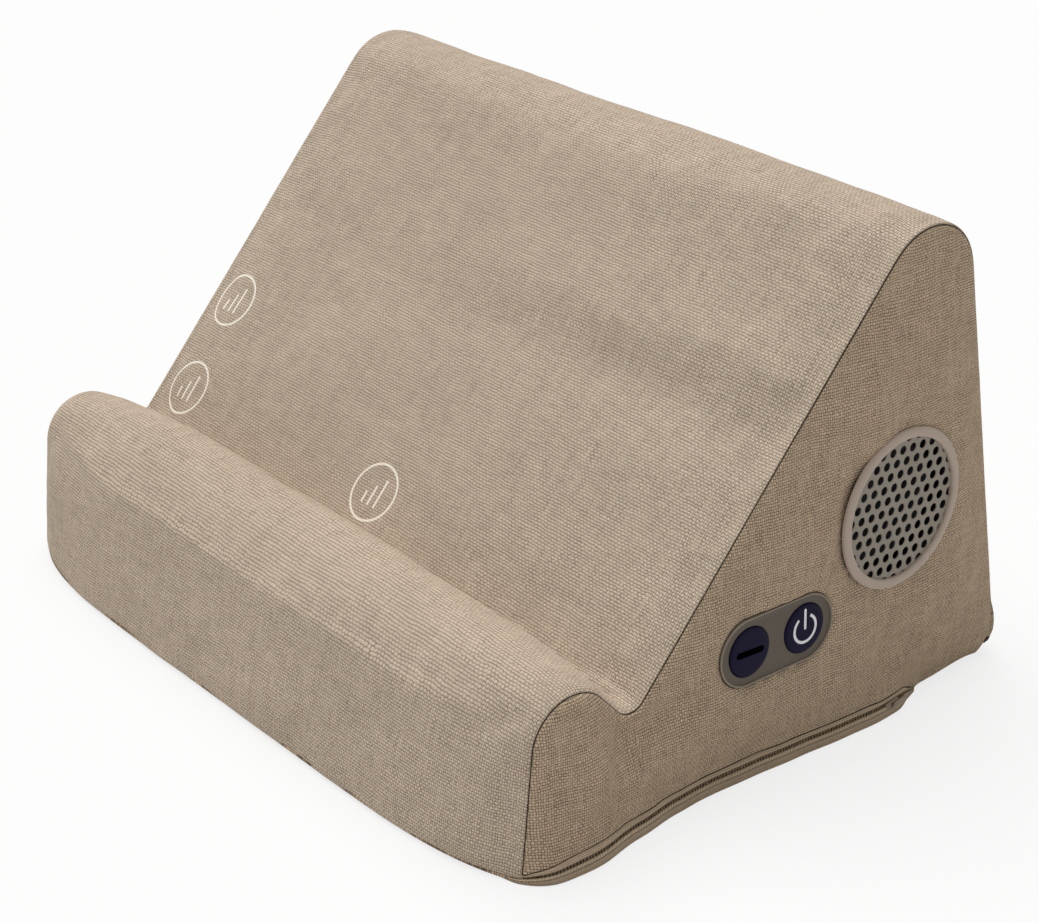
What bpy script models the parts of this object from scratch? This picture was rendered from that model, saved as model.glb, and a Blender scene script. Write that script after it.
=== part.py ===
"""Wedge cushion that holds a tablet upright, with a loudspeaker and two push buttons in its right side."""

from math import cos, exp, hypot, pi, radians, sin, sqrt, tan

import bmesh
import bpy
from mathutils import Matrix, Vector

MM = 0.001
GAP = 0.3 * MM

# Cushion section, seen from the right: y runs from front to back, z runs up
SEAM_WIDTH = 300 * MM
BASE_DEPTH = 232 * MM
FRONT_LEAN = radians(5.0)
LIP_SLOPE = radians(48.0)
LIP_RADIUS = 17 * MM
VALLEY_DEPTH = 46.5 * MM
VALLEY_HEIGHT = 43.1 * MM
VALLEY_RADIUS = 6.5 * MM
REST_SLOPE = radians(49.1)
RIDGE_RADIUS = 23 * MM
BACK_LEAN = radians(11.0)
HEEL_RADIUS = 9 * MM

# How far the stuffed panels stand proud of their seams
CROWN_FRONT_FOOT = 13.6 * MM
CROWN_LIP = 4 * MM
CROWN_VALLEY = 1.5 * MM
CROWN_RIDGE = 3.2 * MM
CROWN_HEEL = 8 * MM
CROWN_POWER = 6
SIDE_BULGE = 5 * MM
SIDE_ROUNDING = 20 * MM
FLARE_HEIGHT = 30 * MM
FLARE_CORNER = 4 * MM
LEFT_REACH = 5.5 * MM
TAIL_REACH = 0.8 * MM

FOAM_FULLNESS = 0.85
FOAM_FOOT_FULLNESS = 0.5

FABRIC = 1.2 * MM
BASE_THICKNESS = 2.0 * MM

# Zip along the right bottom edge: plan distances from the front foot and from the seam plane
ZIP_START = 11.5 * MM
ZIP_STRAIGHT_END = 173 * MM
ZIP_TAIL_END = 191 * MM
ZIP_REACH_FRONT = 10.5 * MM
ZIP_REACH_BACK = 6.8 * MM
ZIP_BAND = 8.5 * MM
ZIP_LINE_HEIGHT = 5.0 * MM
ZIP_SLIT = 1.0 * MM
TAPE_THICKNESS = 0.7 * MM
TAPE_RECESS = 1.3 * MM
COIL_THICKNESS = 0.6 * MM
COIL_HEIGHT = 0.9 * MM
SLIDER_LENGTH = 8 * MM
SLIDER_HEIGHT = 4.6 * MM
SLIDER_PLATE = 0.9 * MM
PULL_LENGTH = 11 * MM
PULL_WIDTH = 3.4 * MM
PULL_THICKNESS = 0.8 * MM
PIN_RADIUS = 0.25 * MM
BAIL_HEIGHT = 1.9 * MM
STOP_LENGTH = 2 * MM

# Loudspeaker: radii, and depths below the side panel's outer face
SPEAKER_FROM_FRONT = 0.7151 * BASE_DEPTH
SPEAKER_HEIGHT = 83.1 * MM
RING_PROUD = 2.2 * MM
RING_BEVEL = 0.45 * MM
RING_SEAT = 0.2 * MM
BARREL_RADIUS = 27.8 * MM
BARREL_WALL = 1.0 * MM
BARREL_BORE = BARREL_RADIUS - BARREL_WALL
RING_RADIUS = BARREL_RADIUS + 1.9 * MM
RING_LIP_RADIUS = BARREL_BORE - 0.7 * MM
BARREL_DEPTH = 9.6 * MM
PLATE_THICKNESS = 0.8 * MM
HOLE_PITCH = 5.0 * MM
HOLE_RADIUS = 1.4 * MM
HOLE_FIELD = RING_LIP_RADIUS - 1.9 * MM
RETAINER_WIDTH = 1.6 * MM
RETAINER_HEIGHT = 1.4 * MM
CUP_WALL = 2.0 * MM
CUP_DEPTH = 46 * MM
CUP_FLANGE_RADIUS = BARREL_RADIUS + 4.2 * MM
CUP_FLANGE_DEPTH = 3.0 * MM
FLANGE_THICKNESS = 1.5 * MM
LEDGE_THICKNESS = 2.0 * MM
BASKET_SHEET = 1.2 * MM
BASKET_HEIGHT = 15.6 * MM
WINDOW_WIDTH = 9 * MM
SPIDER_RISE = 2.6 * MM
COIL_RADIUS = 7.1 * MM
COIL_WALL = 0.5 * MM
COIL_LENGTH = 12 * MM
CONE_RISE = 8 * MM
CONE_PAPER = 0.6 * MM
ROLL_RADIUS = 1.5 * MM
ROLL_INNER_LIP = 1.0 * MM
ROLL_OUTER_LIP = 0.8 * MM
ROLL_SKIN = 0.5 * MM
SCREW_SHANK_RADIUS = 0.9 * MM
SCREW_HEAD_RADIUS = 1.6 * MM
SCREW_HEAD_HEIGHT = 0.8 * MM
SCREW_BAND = 2 * SCREW_HEAD_RADIUS + 0.5 * MM
SURROUND_RADIUS = BARREL_BORE - SCREW_BAND
CONE_RADIUS = SURROUND_RADIUS - ROLL_OUTER_LIP - 2 * ROLL_RADIUS - ROLL_INNER_LIP - GAP
BASKET_OPENING = CONE_RADIUS + 2.2 * MM
LEDGE_RADIUS = BASKET_OPENING + 2.3 * MM
BASKET_FLOOR_RADIUS = CONE_RADIUS - 4 * MM
DUST_CAP_RADIUS = 8 * MM
DUST_CAP_RISE = 2.5 * MM
MAGNET_RADIUS = 18 * MM
MAGNET_THICKNESS = 8 * MM
MAGNET_CLEARANCE = 2 * MM
IRON_RADIUS = 16 * MM
IRON_THICKNESS = 2.5 * MM
BASKET_SCREWS = 4

# Control panel: a long plate with round ends, in the same kind of local frame
CONTROLS_FROM_FRONT = 0.466 * BASE_DEPTH
CONTROLS_HEIGHT = 52.2 * MM
BUTTON_PITCH = 25.4 * MM
BUTTON_RADIUS = 9.0 * MM
BUTTON_FLANGE_RADIUS = 10.2 * MM
BUTTON_TRAVEL = 0.8 * MM
BUTTON_BEVEL = 0.4 * MM
STADIUM_HALF = 13.5 * MM
PAD_RADIUS = 12.55 * MM
RIM_WIDTH = 0.75 * MM
PAD_DEPTH = 0.8 * MM
RIM_DEPTH = 0.2 * MM
PLATE_BACK = 3.6 * MM
CASE_RADIUS = 14.7 * MM
CASE_WALL = 1.5 * MM
CASE_DEPTH = 30 * MM
BOARD_DEPTH = 11.2 * MM
BOARD_THICKNESS = 1.6 * MM
SWITCH_SIZE = 6 * MM
SWITCH_HEIGHT = 2.6 * MM
SWITCH_FLOOR = 0.6 * MM
PLUNGER_RADIUS = 1.6 * MM
BOSS_RADIUS = 2.2 * MM
BOSS_OFFSET = 9.4 * MM
DASH_LENGTH = 12 * MM
DASH_WIDTH = 2.2 * MM
DASH_SINK = 0.3 * MM
BATTERY_LENGTH = 38 * MM
BATTERY_WIDTH = 18 * MM
BATTERY_THICKNESS = 6.5 * MM
BATTERY_BEVEL = 1.2 * MM
BATTERY_LEAD_FROM_END = 5 * MM
BATTERY_LEAD_FROM_MIDDLE = 3 * MM
BATTERY_LEAD_SHIFT = 2 * MM

BOSS_GRIP = 5 * MM
SPEAKER_LEAD_RADIUS = 1.2 * MM
LEAD_EXIT = 4 * MM
LEAD_DROP = 5.5 * MM
LEAD_FALL = 1 * MM
BATTERY_LEAD_RADIUS = 0.8 * MM

# Mesh steps
ARC_STEP = radians(21)
FRONT_STEP = 13 * MM
SLOPE_STEP = 24 * MM
WIDTH_STEPS = 12
WIDTH_CROWDING = 1.7
SIDE_ROWS = 5
FOAM_SIDE_ROWS = 4
TURN_STEPS = 24
RING_STEPS = 32
BUTTON_STEPS = 32
SCREW_STEPS = 12
ROLL_STEPS = 6
WELD = 0.01 * MM
CUT_MARGIN = 1 * MM
PANEL_CUT_DEPTH = 4 * MM
POCKET_REACH = 12 * MM

HALF_WIDTH = SEAM_WIDTH / 2
FRONT = -BASE_DEPTH / 2
BACK = BASE_DEPTH / 2
FOOT = BASE_THICKNESS + GAP
HEM = FOOT + FABRIC / 3
WRAP_EDGE = HALF_WIDTH - FABRIC - GAP
FOAM_INSET = FABRIC + GAP


def clear_scene():
    for item in list(bpy.data.objects):
        bpy.data.objects.remove(item, do_unlink=True)


def new_collection(name):
    collection = bpy.data.collections.new(name)
    bpy.context.scene.collection.children.link(collection)
    return collection


def material(name, color, roughness, metallic=0.0):
    surface = bpy.data.materials.get(name)
    if surface is None:
        surface = bpy.data.materials.new(name)
        surface.use_nodes = True
        shader = surface.node_tree.nodes["Principled BSDF"]
        shader.inputs["Base Color"].default_value = (*color, 1.0)
        shader.inputs["Roughness"].default_value = roughness
        shader.inputs["Metallic"].default_value = metallic
    return surface


def canvas():
    return material("tan canvas", (0.42, 0.33, 0.24), 0.9)


def side_canvas():
    return material("tan side canvas", (0.36, 0.27, 0.19), 0.9)


def base_canvas():
    return material("brown base fabric", (0.20, 0.15, 0.11), 0.9)


def foam():
    return material("pale foam", (0.72, 0.66, 0.50), 0.95)


def zip_tape():
    return material("tan zip tape", (0.36, 0.28, 0.20), 0.85)


def zip_nylon():
    return material("brown nylon", (0.16, 0.10, 0.06), 0.5)


def dark_metal():
    return material("dark metal", (0.10, 0.08, 0.07), 0.4, 1.0)


def ring_plastic():
    return material("rose beige plastic", (0.30, 0.24, 0.19), 0.45)


def plate_metal():
    return material("grey perforated metal", (0.50, 0.50, 0.49), 0.35, 1.0)


def panel_plastic():
    return material("taupe plastic", (0.12, 0.10, 0.08), 0.5)


def button_plastic():
    return material("navy plastic", (0.02, 0.015, 0.03), 0.35)


def black_plastic():
    return material("black plastic", (0.03, 0.03, 0.03), 0.5)


def rubber():
    return material("black rubber", (0.02, 0.02, 0.02), 0.7)


def steel():
    return material("bright steel", (0.60, 0.60, 0.60), 0.3, 1.0)


def ferrite():
    return material("grey ferrite", (0.09, 0.09, 0.10), 0.6)


def paper():
    return material("dark cone paper", (0.06, 0.06, 0.06), 0.9)


def copper():
    return material("copper winding", (0.70, 0.32, 0.16), 0.35, 1.0)


def circuit_green():
    return material("green circuit board", (0.03, 0.18, 0.08), 0.5)


def battery_film():
    return material("silver battery film", (0.55, 0.56, 0.58), 0.4, 0.6)


def lead_sheath():
    return material("black lead sheath", (0.02, 0.02, 0.02), 0.6)


def link(name, mesh, surface, collection, parent=None):
    item = bpy.data.objects.new(name, mesh)
    if surface is not None:
        mesh.materials.clear()
        mesh.materials.append(surface)
    collection.objects.link(item)
    item.parent = parent
    return item


def mesh_from(name, shape):
    mesh = bpy.data.meshes.new(name)
    shape.to_mesh(mesh)
    shape.free()
    return mesh


def cutter(name, mesh, parent=None):
    item = link(name, mesh, None, CUTTERS, parent)
    item.hide_render = True
    item.display_type = "WIRE"
    return item


def combine(target, tool, operation):
    step = target.modifiers.new(tool.name, "BOOLEAN")
    step.operation = operation
    step.solver = "EXACT"
    step.object = tool


def cut(target, *tools):
    for tool in tools:
        combine(target, tool, "DIFFERENCE")


def thicken(target, wall):
    step = target.modifiers.new("wall", "SOLIDIFY")
    step.thickness = wall
    step.offset = -1.0
    step.use_even_offset = True


# Section of the cushion


def section_corners():
    """Corners of the section as (y, z, radius, crown), from the front foot over the top to the back foot."""
    valley_y = FRONT + VALLEY_DEPTH
    rise = tan(REST_SLOPE)
    fall = tan(LIP_SLOPE)
    front_run = tan(FRONT_LEAN)
    back_run = tan(BACK_LEAN)
    lip_z = (VALLEY_HEIGHT + fall * (valley_y - FRONT)) / (1 + fall * front_run)
    lip_y = FRONT + front_run * lip_z
    ridge_z = (VALLEY_HEIGHT + rise * (BACK - valley_y)) / (1 + rise * back_run)
    ridge_y = BACK - back_run * ridge_z
    return [
        (FRONT, 0.0, 0.0, CROWN_FRONT_FOOT),
        (lip_y, lip_z, LIP_RADIUS, CROWN_LIP),
        (valley_y, VALLEY_HEIGHT, VALLEY_RADIUS, CROWN_VALLEY),
        (ridge_y, ridge_z, RIDGE_RADIUS, CROWN_RIDGE),
        (BACK, 0.0, HEEL_RADIUS, CROWN_HEEL),
        (FRONT, 0.0, 0.0, CROWN_HEEL),
    ]


def fillet(before, corner, after, radius):
    """Points of the arc that rounds one corner, with a step of about ARC_STEP."""
    into = (Vector(before) - Vector(corner)).normalized()
    out = (Vector(after) - Vector(corner)).normalized()
    half = into.angle(out) / 2
    reach = radius / tan(half)
    centre = Vector(corner) + (into + out).normalized() * (radius / sin(half))
    start = Vector(corner) + into * reach - centre
    sweep = pi - 2 * half
    steps = max(3, round(sweep / ARC_STEP))
    turn = 1 if start.cross(Vector(corner) - centre) > 0 else -1
    return [
        centre + Matrix.Rotation(turn * sweep * k / steps, 2) @ start
        for k in range(steps + 1)
    ]


def straight(first, last, longest):
    steps = max(1, round((last - first).length / longest))
    return [first.lerp(last, k / steps) for k in range(1, steps)]


def make_section():
    """Stations along the wrap panel: place, outward normal, crown and share of the length."""
    corners = section_corners()
    points = [Vector((FRONT + FOOT * tan(FRONT_LEAN), FOOT))]
    crowns = [CROWN_FRONT_FOOT]
    for index in range(1, len(corners) - 1):
        before, corner, after = corners[index - 1:index + 2]
        arc = fillet(before[:2], corner[:2], after[:2], corner[2])
        if index == len(corners) - 2:
            arc = [point for point in arc if point.y > FOOT] + [lowest_on_arc(arc)]
        longest = FRONT_STEP if index == 1 else SLOPE_STEP
        run = straight(points[-1], arc[0], longest)
        start_crown = crowns[-1]
        for step, point in enumerate(run, 1):
            share = step / (len(run) + 1)
            points.append(point)
            crowns.append(start_crown + (corner[3] - start_crown) * share)
        points += arc
        crowns += [corner[3]] * len(arc)
    lengths = [0.0]
    for first, last in zip(points, points[1:]):
        lengths.append(lengths[-1] + (last - first).length)
    stations = []
    for index, point in enumerate(points):
        ahead = points[min(index + 1, len(points) - 1)]
        behind = points[max(index - 1, 0)]
        along = (ahead - behind).normalized()
        normal = Vector((-along.y, along.x))
        stations.append((point, normal, crowns[index], lengths[index] / lengths[-1]))
    return stations


def lowest_on_arc(arc):
    """Point where the heel's arc comes down to the foot height."""
    for first, last in zip(arc, arc[1:]):
        if last.y <= FOOT < first.y:
            return first.lerp(last, (first.y - FOOT) / (first.y - last.y))
    return Vector((arc[-1].x, FOOT))


def seam_distance(y, z):
    """Distance from a point of the side to the seam around the wrap panel."""
    best = 1.0
    for first, last in zip(SECTION, SECTION[1:]):
        a, b = first[0], last[0]
        run = b - a
        share = ((y - a.x) * run.x + (z - a.y) * run.y) / run.length_squared
        share = min(max(share, 0.0), 1.0)
        best = min(best, hypot(y - a.x - run.x * share, z - a.y - run.y * share))
    return best


def smooth(value):
    value = min(max(value, 0.0), 1.0)
    return value * value * (3 - 2 * value)


def zip_reach(y):
    """How far the straight zip line stands outside the right seam plane."""
    share = (y - FRONT - ZIP_START) / (ZIP_STRAIGHT_END - ZIP_START)
    return ZIP_REACH_FRONT + (ZIP_REACH_BACK - ZIP_REACH_FRONT) * share


def foot_reach(y, side):
    if side < 0:
        return LEFT_REACH
    tail = smooth((y - FRONT - ZIP_STRAIGHT_END) / (ZIP_TAIL_END - ZIP_STRAIGHT_END))
    return zip_reach(y) * (1 - tail) + TAIL_REACH * tail


def bulge(y, z, side, inset=0.0):
    """How far the side panel's outer face stands outside the seam plane."""
    distance = max(seam_distance(y, z) - inset, 0.0)
    foot_distance = max(seam_distance(y, FOOT) - inset, 0.0)
    pillow = SIDE_BULGE * (1 - exp(-distance / SIDE_ROUNDING))
    foot_pillow = SIDE_BULGE * (1 - exp(-foot_distance / SIDE_ROUNDING))
    flare = foot_reach(y, side) - foot_pillow
    return pillow + flare * exp(-z / FLARE_HEIGHT) * (1 - exp(-distance / FLARE_CORNER))


def band_height(y, side):
    """Height of the side panel's lower edge, which lies above the zip on the right."""
    if side < 0:
        return HEM
    rise = smooth((y - FRONT) / (ZIP_START / 2))
    fall = 1 - smooth((y - FRONT - ZIP_STRAIGHT_END) / (ZIP_TAIL_END - ZIP_STRAIGHT_END))
    return HEM + (ZIP_BAND - HEM) * rise * fall


def wrap_point(station, x, edge, inset=0.0):
    """Point of the wrap panel's outer face, or of a face that lies inset below it."""
    point, normal, crown, along = station
    share = min(abs(x) / edge, 1.0)
    swell = crown * (1 - share ** CROWN_POWER)
    low = FOOT if inset else HEM
    y = point.x + normal.x * (swell - inset)
    z = point.y + max(normal.y, 0) * swell - normal.y * inset
    if along in (0, 1):
        y -= inset * along
        z = low
    return Vector((x, y, max(z, low)))


def side_point(station, share, side, plane, inset=0.0, zip_edge=True):
    """Point of a side panel, on the line from its lower edge to the seam."""
    along = station[3]
    top = wrap_point(station, plane, plane, inset)
    front = wrap_point(SECTION[0], plane, plane, inset).y
    back = wrap_point(SECTION[-1], plane, plane, inset).y
    y_low = front + (back - front) * along
    low = FOOT if inset else HEM
    z_low = band_height(y_low, side) if zip_edge else low
    y = y_low + (top.y - y_low) * share
    z = z_low + (top.z - z_low) * share
    out = bulge(y, z, side, inset) if share < 1 else 0.0
    if inset:
        out *= FOAM_FOOT_FULLNESS + (FOAM_FULLNESS - FOAM_FOOT_FULLNESS) * smooth(z / FLARE_HEIGHT)
    return Vector((side * (plane + out), y, max(z, low)))


def width_at(share):
    """Stations across the width, closer together near the seams."""
    return (1 - (1 - abs(share)) ** WIDTH_CROWDING) * (1 if share > 0 else -1)


def grid(columns, rows, place):
    """Sheet of columns by rows quads, with each vertex moved to place(column, row)."""
    shape = bmesh.new()
    bmesh.ops.create_grid(shape, x_segments=columns, y_segments=rows, size=1.0)
    for vert in shape.verts:
        column = round((vert.co.x + 1) / 2 * columns)
        row = round((vert.co.y + 1) / 2 * rows)
        vert.co = place(column, row)
    bmesh.ops.remove_doubles(shape, verts=shape.verts, dist=WELD)
    return shape


def face_outward(shape, centre):
    """Turn an open sheet's faces so that they point away from centre."""
    total = sum((f.calc_center_median() - centre).dot(f.normal) * f.calc_area() for f in shape.faces)
    if total < 0:
        bmesh.ops.reverse_faces(shape, faces=shape.faces)
    shape.normal_update()


def wrap_sheet(edge, columns, inset):
    def place(column, row):
        x = edge * width_at(2 * column / columns - 1)
        return wrap_point(SECTION[row], x, edge, inset)

    shape = grid(columns, len(SECTION) - 1, place)
    face_outward(shape, MIDDLE)
    return shape


def side_sheet(side, plane, rows, inset=0.0, zip_edge=True):
    def place(column, row):
        return side_point(SECTION[column], row / rows, side, plane, inset, zip_edge)

    shape = grid(len(SECTION) - 1, rows, place)
    face_outward(shape, MIDDLE)
    return shape


def add_sheet(target, shape):
    """Copy the faces of shape into target."""
    mesh = mesh_from("part of shell", shape)
    target.from_mesh(mesh)
    bpy.data.meshes.remove(mesh)


# Pieces made from outlines, turned profiles and paths


def turned(name, profile, surface, parent, steps=TURN_STEPS, collection=None):
    """Body turned about its local Z from (radius, height) points that run down its outer side."""
    mesh = bpy.data.meshes.new(name)
    shape = bmesh.new()
    verts = [shape.verts.new((radius, 0, height)) for radius, height in profile]
    pairs = list(zip(verts, verts[1:]))
    if profile[0][0] > 0 or profile[-1][0] > 0:
        pairs.append((verts[-1], verts[0]))
    for pair in pairs:
        shape.edges.new(pair)
    shape.to_mesh(mesh)
    shape.free()
    item = link(name, mesh, surface, collection or PARTS, parent)
    step = item.modifiers.new("turn", "SCREW")
    step.steps = steps
    step.render_steps = steps
    step.use_merge_vertices = True
    step.merge_threshold = 0.00001
    step.use_smooth_shade = False
    return item


def stadium_loop(shape, half, radius, height, turn_steps):
    """Loop of edges around a straight run with two round ends."""
    verts = []
    for end in (1, -1):
        for k in range(turn_steps + 1):
            angle = pi * (k / turn_steps - 0.5) + (0 if end > 0 else pi)
            verts.append(shape.verts.new((end * half + radius * cos(angle), radius * sin(angle), height)))
    return [shape.edges.new((a, b)) for a, b in zip(verts, verts[1:] + verts[:1])]


def stacked(half, profile, turn_steps=10):
    """Closed body with round ends, its loops given as (radius, height) from one cap to the other."""
    shape = bmesh.new()
    radius, height = profile[0]
    edges = stadium_loop(shape, half, radius, height, turn_steps)
    bmesh.ops.edgenet_fill(shape, edges=edges)
    for next_radius, next_height in profile[1:]:
        made = bmesh.ops.extrude_edge_only(shape, edges=edges)["geom"]
        edges = [part for part in made if isinstance(part, bmesh.types.BMEdge)]
        for vert in (part for part in made if isinstance(part, bmesh.types.BMVert)):
            end = half if vert.co.x > 0 else -half
            vert.co.x = end + (vert.co.x - end) * next_radius / radius
            vert.co.y *= next_radius / radius
            vert.co.z = next_height
        radius = next_radius
    bmesh.ops.edgenet_fill(shape, edges=edges)
    bmesh.ops.recalc_face_normals(shape, faces=shape.faces)
    return shape


def box(size, centre, bevel=0.0):
    shape = bmesh.new()
    bmesh.ops.create_cube(shape, size=1.0)
    bmesh.ops.scale(shape, vec=size, verts=shape.verts)
    bmesh.ops.translate(shape, vec=centre, verts=shape.verts)
    if bevel:
        bmesh.ops.bevel(shape, geom=shape.edges, offset=bevel, segments=1, profile=0.5, affect="EDGES")
    return shape


def cylinder(radius, low, high, centre=(0, 0), segments=24):
    shape = bmesh.new()
    bmesh.ops.create_cone(
        shape, cap_ends=True, segments=segments, radius1=radius, radius2=radius, depth=high - low
    )
    bmesh.ops.translate(shape, vec=(centre[0], centre[1], (low + high) / 2), verts=shape.verts)
    return shape


def smooth_path(points, steps):
    """Points on a smooth curve through the given ones."""
    padded = [2 * points[0] - points[1]] + points + [2 * points[-1] - points[-2]]
    path = []
    for a, b, c, d in zip(padded, padded[1:], padded[2:], padded[3:]):
        for k in range(steps):
            t = k / steps
            path.append(
                0.5 * (2 * b + (c - a) * t + (2 * a - 5 * b + 4 * c - d) * t ** 2
                       + (3 * b - a - 3 * c + d) * t ** 3)
            )
    return path + [points[-1]]


def tube_mesh(name, points, radius):
    """Mesh of a round bar along a smooth path."""
    curve = bpy.data.curves.new(name, "CURVE")
    curve.dimensions = "3D"
    curve.bevel_depth = radius
    curve.bevel_resolution = 2
    curve.use_fill_caps = True
    curve.render_resolution_u = 0
    path = smooth_path(points, 4)
    spline = curve.splines.new("POLY")
    spline.points.add(len(path) - 1)
    for target, point in zip(spline.points, path):
        target.co = (*point, 1.0)
    holder = bpy.data.objects.new(name, curve)
    CUTTERS.objects.link(holder)
    bpy.context.view_layer.update()
    evaluated = holder.evaluated_get(bpy.context.evaluated_depsgraph_get())
    mesh = bpy.data.meshes.new_from_object(evaluated)
    bpy.data.objects.remove(holder, do_unlink=True)
    shape = bmesh.new()
    shape.from_mesh(mesh)
    bmesh.ops.remove_doubles(shape, verts=shape.verts, dist=WELD)
    bmesh.ops.recalc_face_normals(shape, faces=shape.faces)
    shape.to_mesh(mesh)
    shape.free()
    return mesh


def side_frame(name, y, z):
    """Empty on the right panel's outer face: local Z points out of it, local X points to the back."""
    step = CUT_MARGIN
    slope_y = (bulge(y + step, z, 1) - bulge(y - step, z, 1)) / (2 * step)
    slope_z = (bulge(y, z + step, 1) - bulge(y, z - step, 1)) / (2 * step)
    out = Vector((1, -slope_y, -slope_z)).normalized()
    along = Vector((0, 1, 0))
    along = (along - out * along.dot(out)).normalized()
    up = out.cross(along)
    place = Matrix((along, up, out)).transposed().to_4x4()
    place.translation = (HALF_WIDTH + bulge(y, z, 1), y, z)
    empty = bpy.data.objects.new(name, None)
    empty.matrix_world = place
    PARTS.objects.link(empty)
    return empty


# Covers and foam


def make_wrap():
    shape = wrap_sheet(WRAP_EDGE, WIDTH_STEPS, 0.0)
    item = link("cover_wrap", mesh_from("cover_wrap", shape), canvas(), PARTS)
    thicken(item, FABRIC)
    return item


def make_side(name, side):
    shape = side_sheet(side, HALF_WIDTH, SIDE_ROWS)
    item = link(name, mesh_from(name, shape), side_canvas(), PARTS)
    thicken(item, FABRIC)
    return item


def make_base():
    """Base panel, cut to the outline of the wrap and side panels at the floor."""
    columns = WIDTH_STEPS
    across = [HALF_WIDTH * width_at(2 * k / columns - 1) for k in range(columns + 1)]
    front = [wrap_point(SECTION[0], x, HALF_WIDTH) for x in across]
    right = [side_point(s, 0, 1, HALF_WIDTH, zip_edge=False) for s in SECTION]
    back = [wrap_point(SECTION[-1], x, HALF_WIDTH) for x in reversed(across)]
    left = [side_point(s, 0, -1, HALF_WIDTH, zip_edge=False) for s in reversed(SECTION)]
    outline = front[:-1] + right[:-1] + back[:-1] + left[:-1]
    shape = bmesh.new()
    verts = [shape.verts.new((point.x, point.y, BASE_THICKNESS)) for point in outline]
    face = shape.faces.new(verts)
    made = bmesh.ops.extrude_face_region(shape, geom=[face])["geom"]
    moved = [part for part in made if isinstance(part, bmesh.types.BMVert)]
    bmesh.ops.translate(shape, vec=(0, 0, -BASE_THICKNESS), verts=moved)
    bmesh.ops.recalc_face_normals(shape, faces=shape.faces)
    return link("cover_base", mesh_from("cover_base", shape), base_canvas(), PARTS)


def make_foam():
    """Foam core: the covers' shape moved inwards, closed across the bottom."""
    plane = HALF_WIDTH - FOAM_INSET - GAP
    shape = wrap_sheet(plane, WIDTH_STEPS, FOAM_INSET)
    for side in (-1, 1):
        add_sheet(shape, side_sheet(side, plane, FOAM_SIDE_ROWS, FOAM_INSET, zip_edge=False))
    bmesh.ops.remove_doubles(shape, verts=shape.verts, dist=WELD)
    bmesh.ops.holes_fill(shape, edges=[edge for edge in shape.edges if edge.is_boundary])
    bmesh.ops.recalc_face_normals(shape, faces=shape.faces)
    return link("foam_core", mesh_from("foam_core", shape), foam(), PARTS)


# Zip


def zip_frame():
    """Empty on the zip line: local X runs to the back, local Y goes into the cushion, local Z points up."""
    start_y = FRONT + ZIP_START
    start = Vector((HALF_WIDTH + zip_reach(start_y), start_y, ZIP_LINE_HEIGHT))
    end_y = FRONT + ZIP_STRAIGHT_END
    end = Vector((HALF_WIDTH + zip_reach(end_y), end_y, ZIP_LINE_HEIGHT))
    along = (end - start).normalized()
    up = Vector((0, 0, 1))
    place = Matrix((along, up.cross(along), up)).transposed().to_4x4()
    place.translation = start
    empty = bpy.data.objects.new("zip_line", None)
    empty.matrix_world = place
    PARTS.objects.link(empty)
    return empty, (end - start).length


def bar(name, low, high, surface, parent, bevel=0.0):
    """Straight bar between two opposite corners in the parent's frame."""
    low, high = Vector(low), Vector(high)
    return link(name, mesh_from(name, box(high - low, (low + high) / 2, bevel)), surface, PARTS, parent)


def make_zip(line, length):
    """Tapes, coils, stops, slider and pull, with depths measured inwards from the zip line."""
    tape_back = TAPE_RECESS + TAPE_THICKNESS
    coil_back = TAPE_RECESS - GAP
    coil_front = coil_back - COIL_THICKNESS
    half = ZIP_SLIT / 2
    reach = half + COIL_HEIGHT
    top = ZIP_BAND - ZIP_LINE_HEIGHT - 2 * GAP
    bottom = FOOT - ZIP_LINE_HEIGHT
    run = length - STOP_LENGTH - GAP
    stop = run + GAP
    bar("zip_tape_upper", (0, TAPE_RECESS, half), (length, tape_back, top), zip_tape(), line)
    bar("zip_tape_lower", (0, TAPE_RECESS, bottom), (length, tape_back, -half), zip_tape(), line)
    bar("zip_coil_upper", (0, coil_front, half), (run, coil_back, reach), zip_nylon(), line)
    bar("zip_coil_lower", (0, coil_front, -reach), (run, coil_back, -half), zip_nylon(), line)
    back_corner = (stop + STOP_LENGTH, coil_back, reach)
    front_corner = (-GAP - STOP_LENGTH, coil_front, -reach)
    bar("zip_stop_back", (stop, coil_front, -reach), back_corner, dark_metal(), line)
    bar("zip_stop_front", front_corner, (-GAP, tape_back, reach), dark_metal(), line)
    make_slider(line, run - SLIDER_LENGTH / 2, coil_front, tape_back, half)


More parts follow.
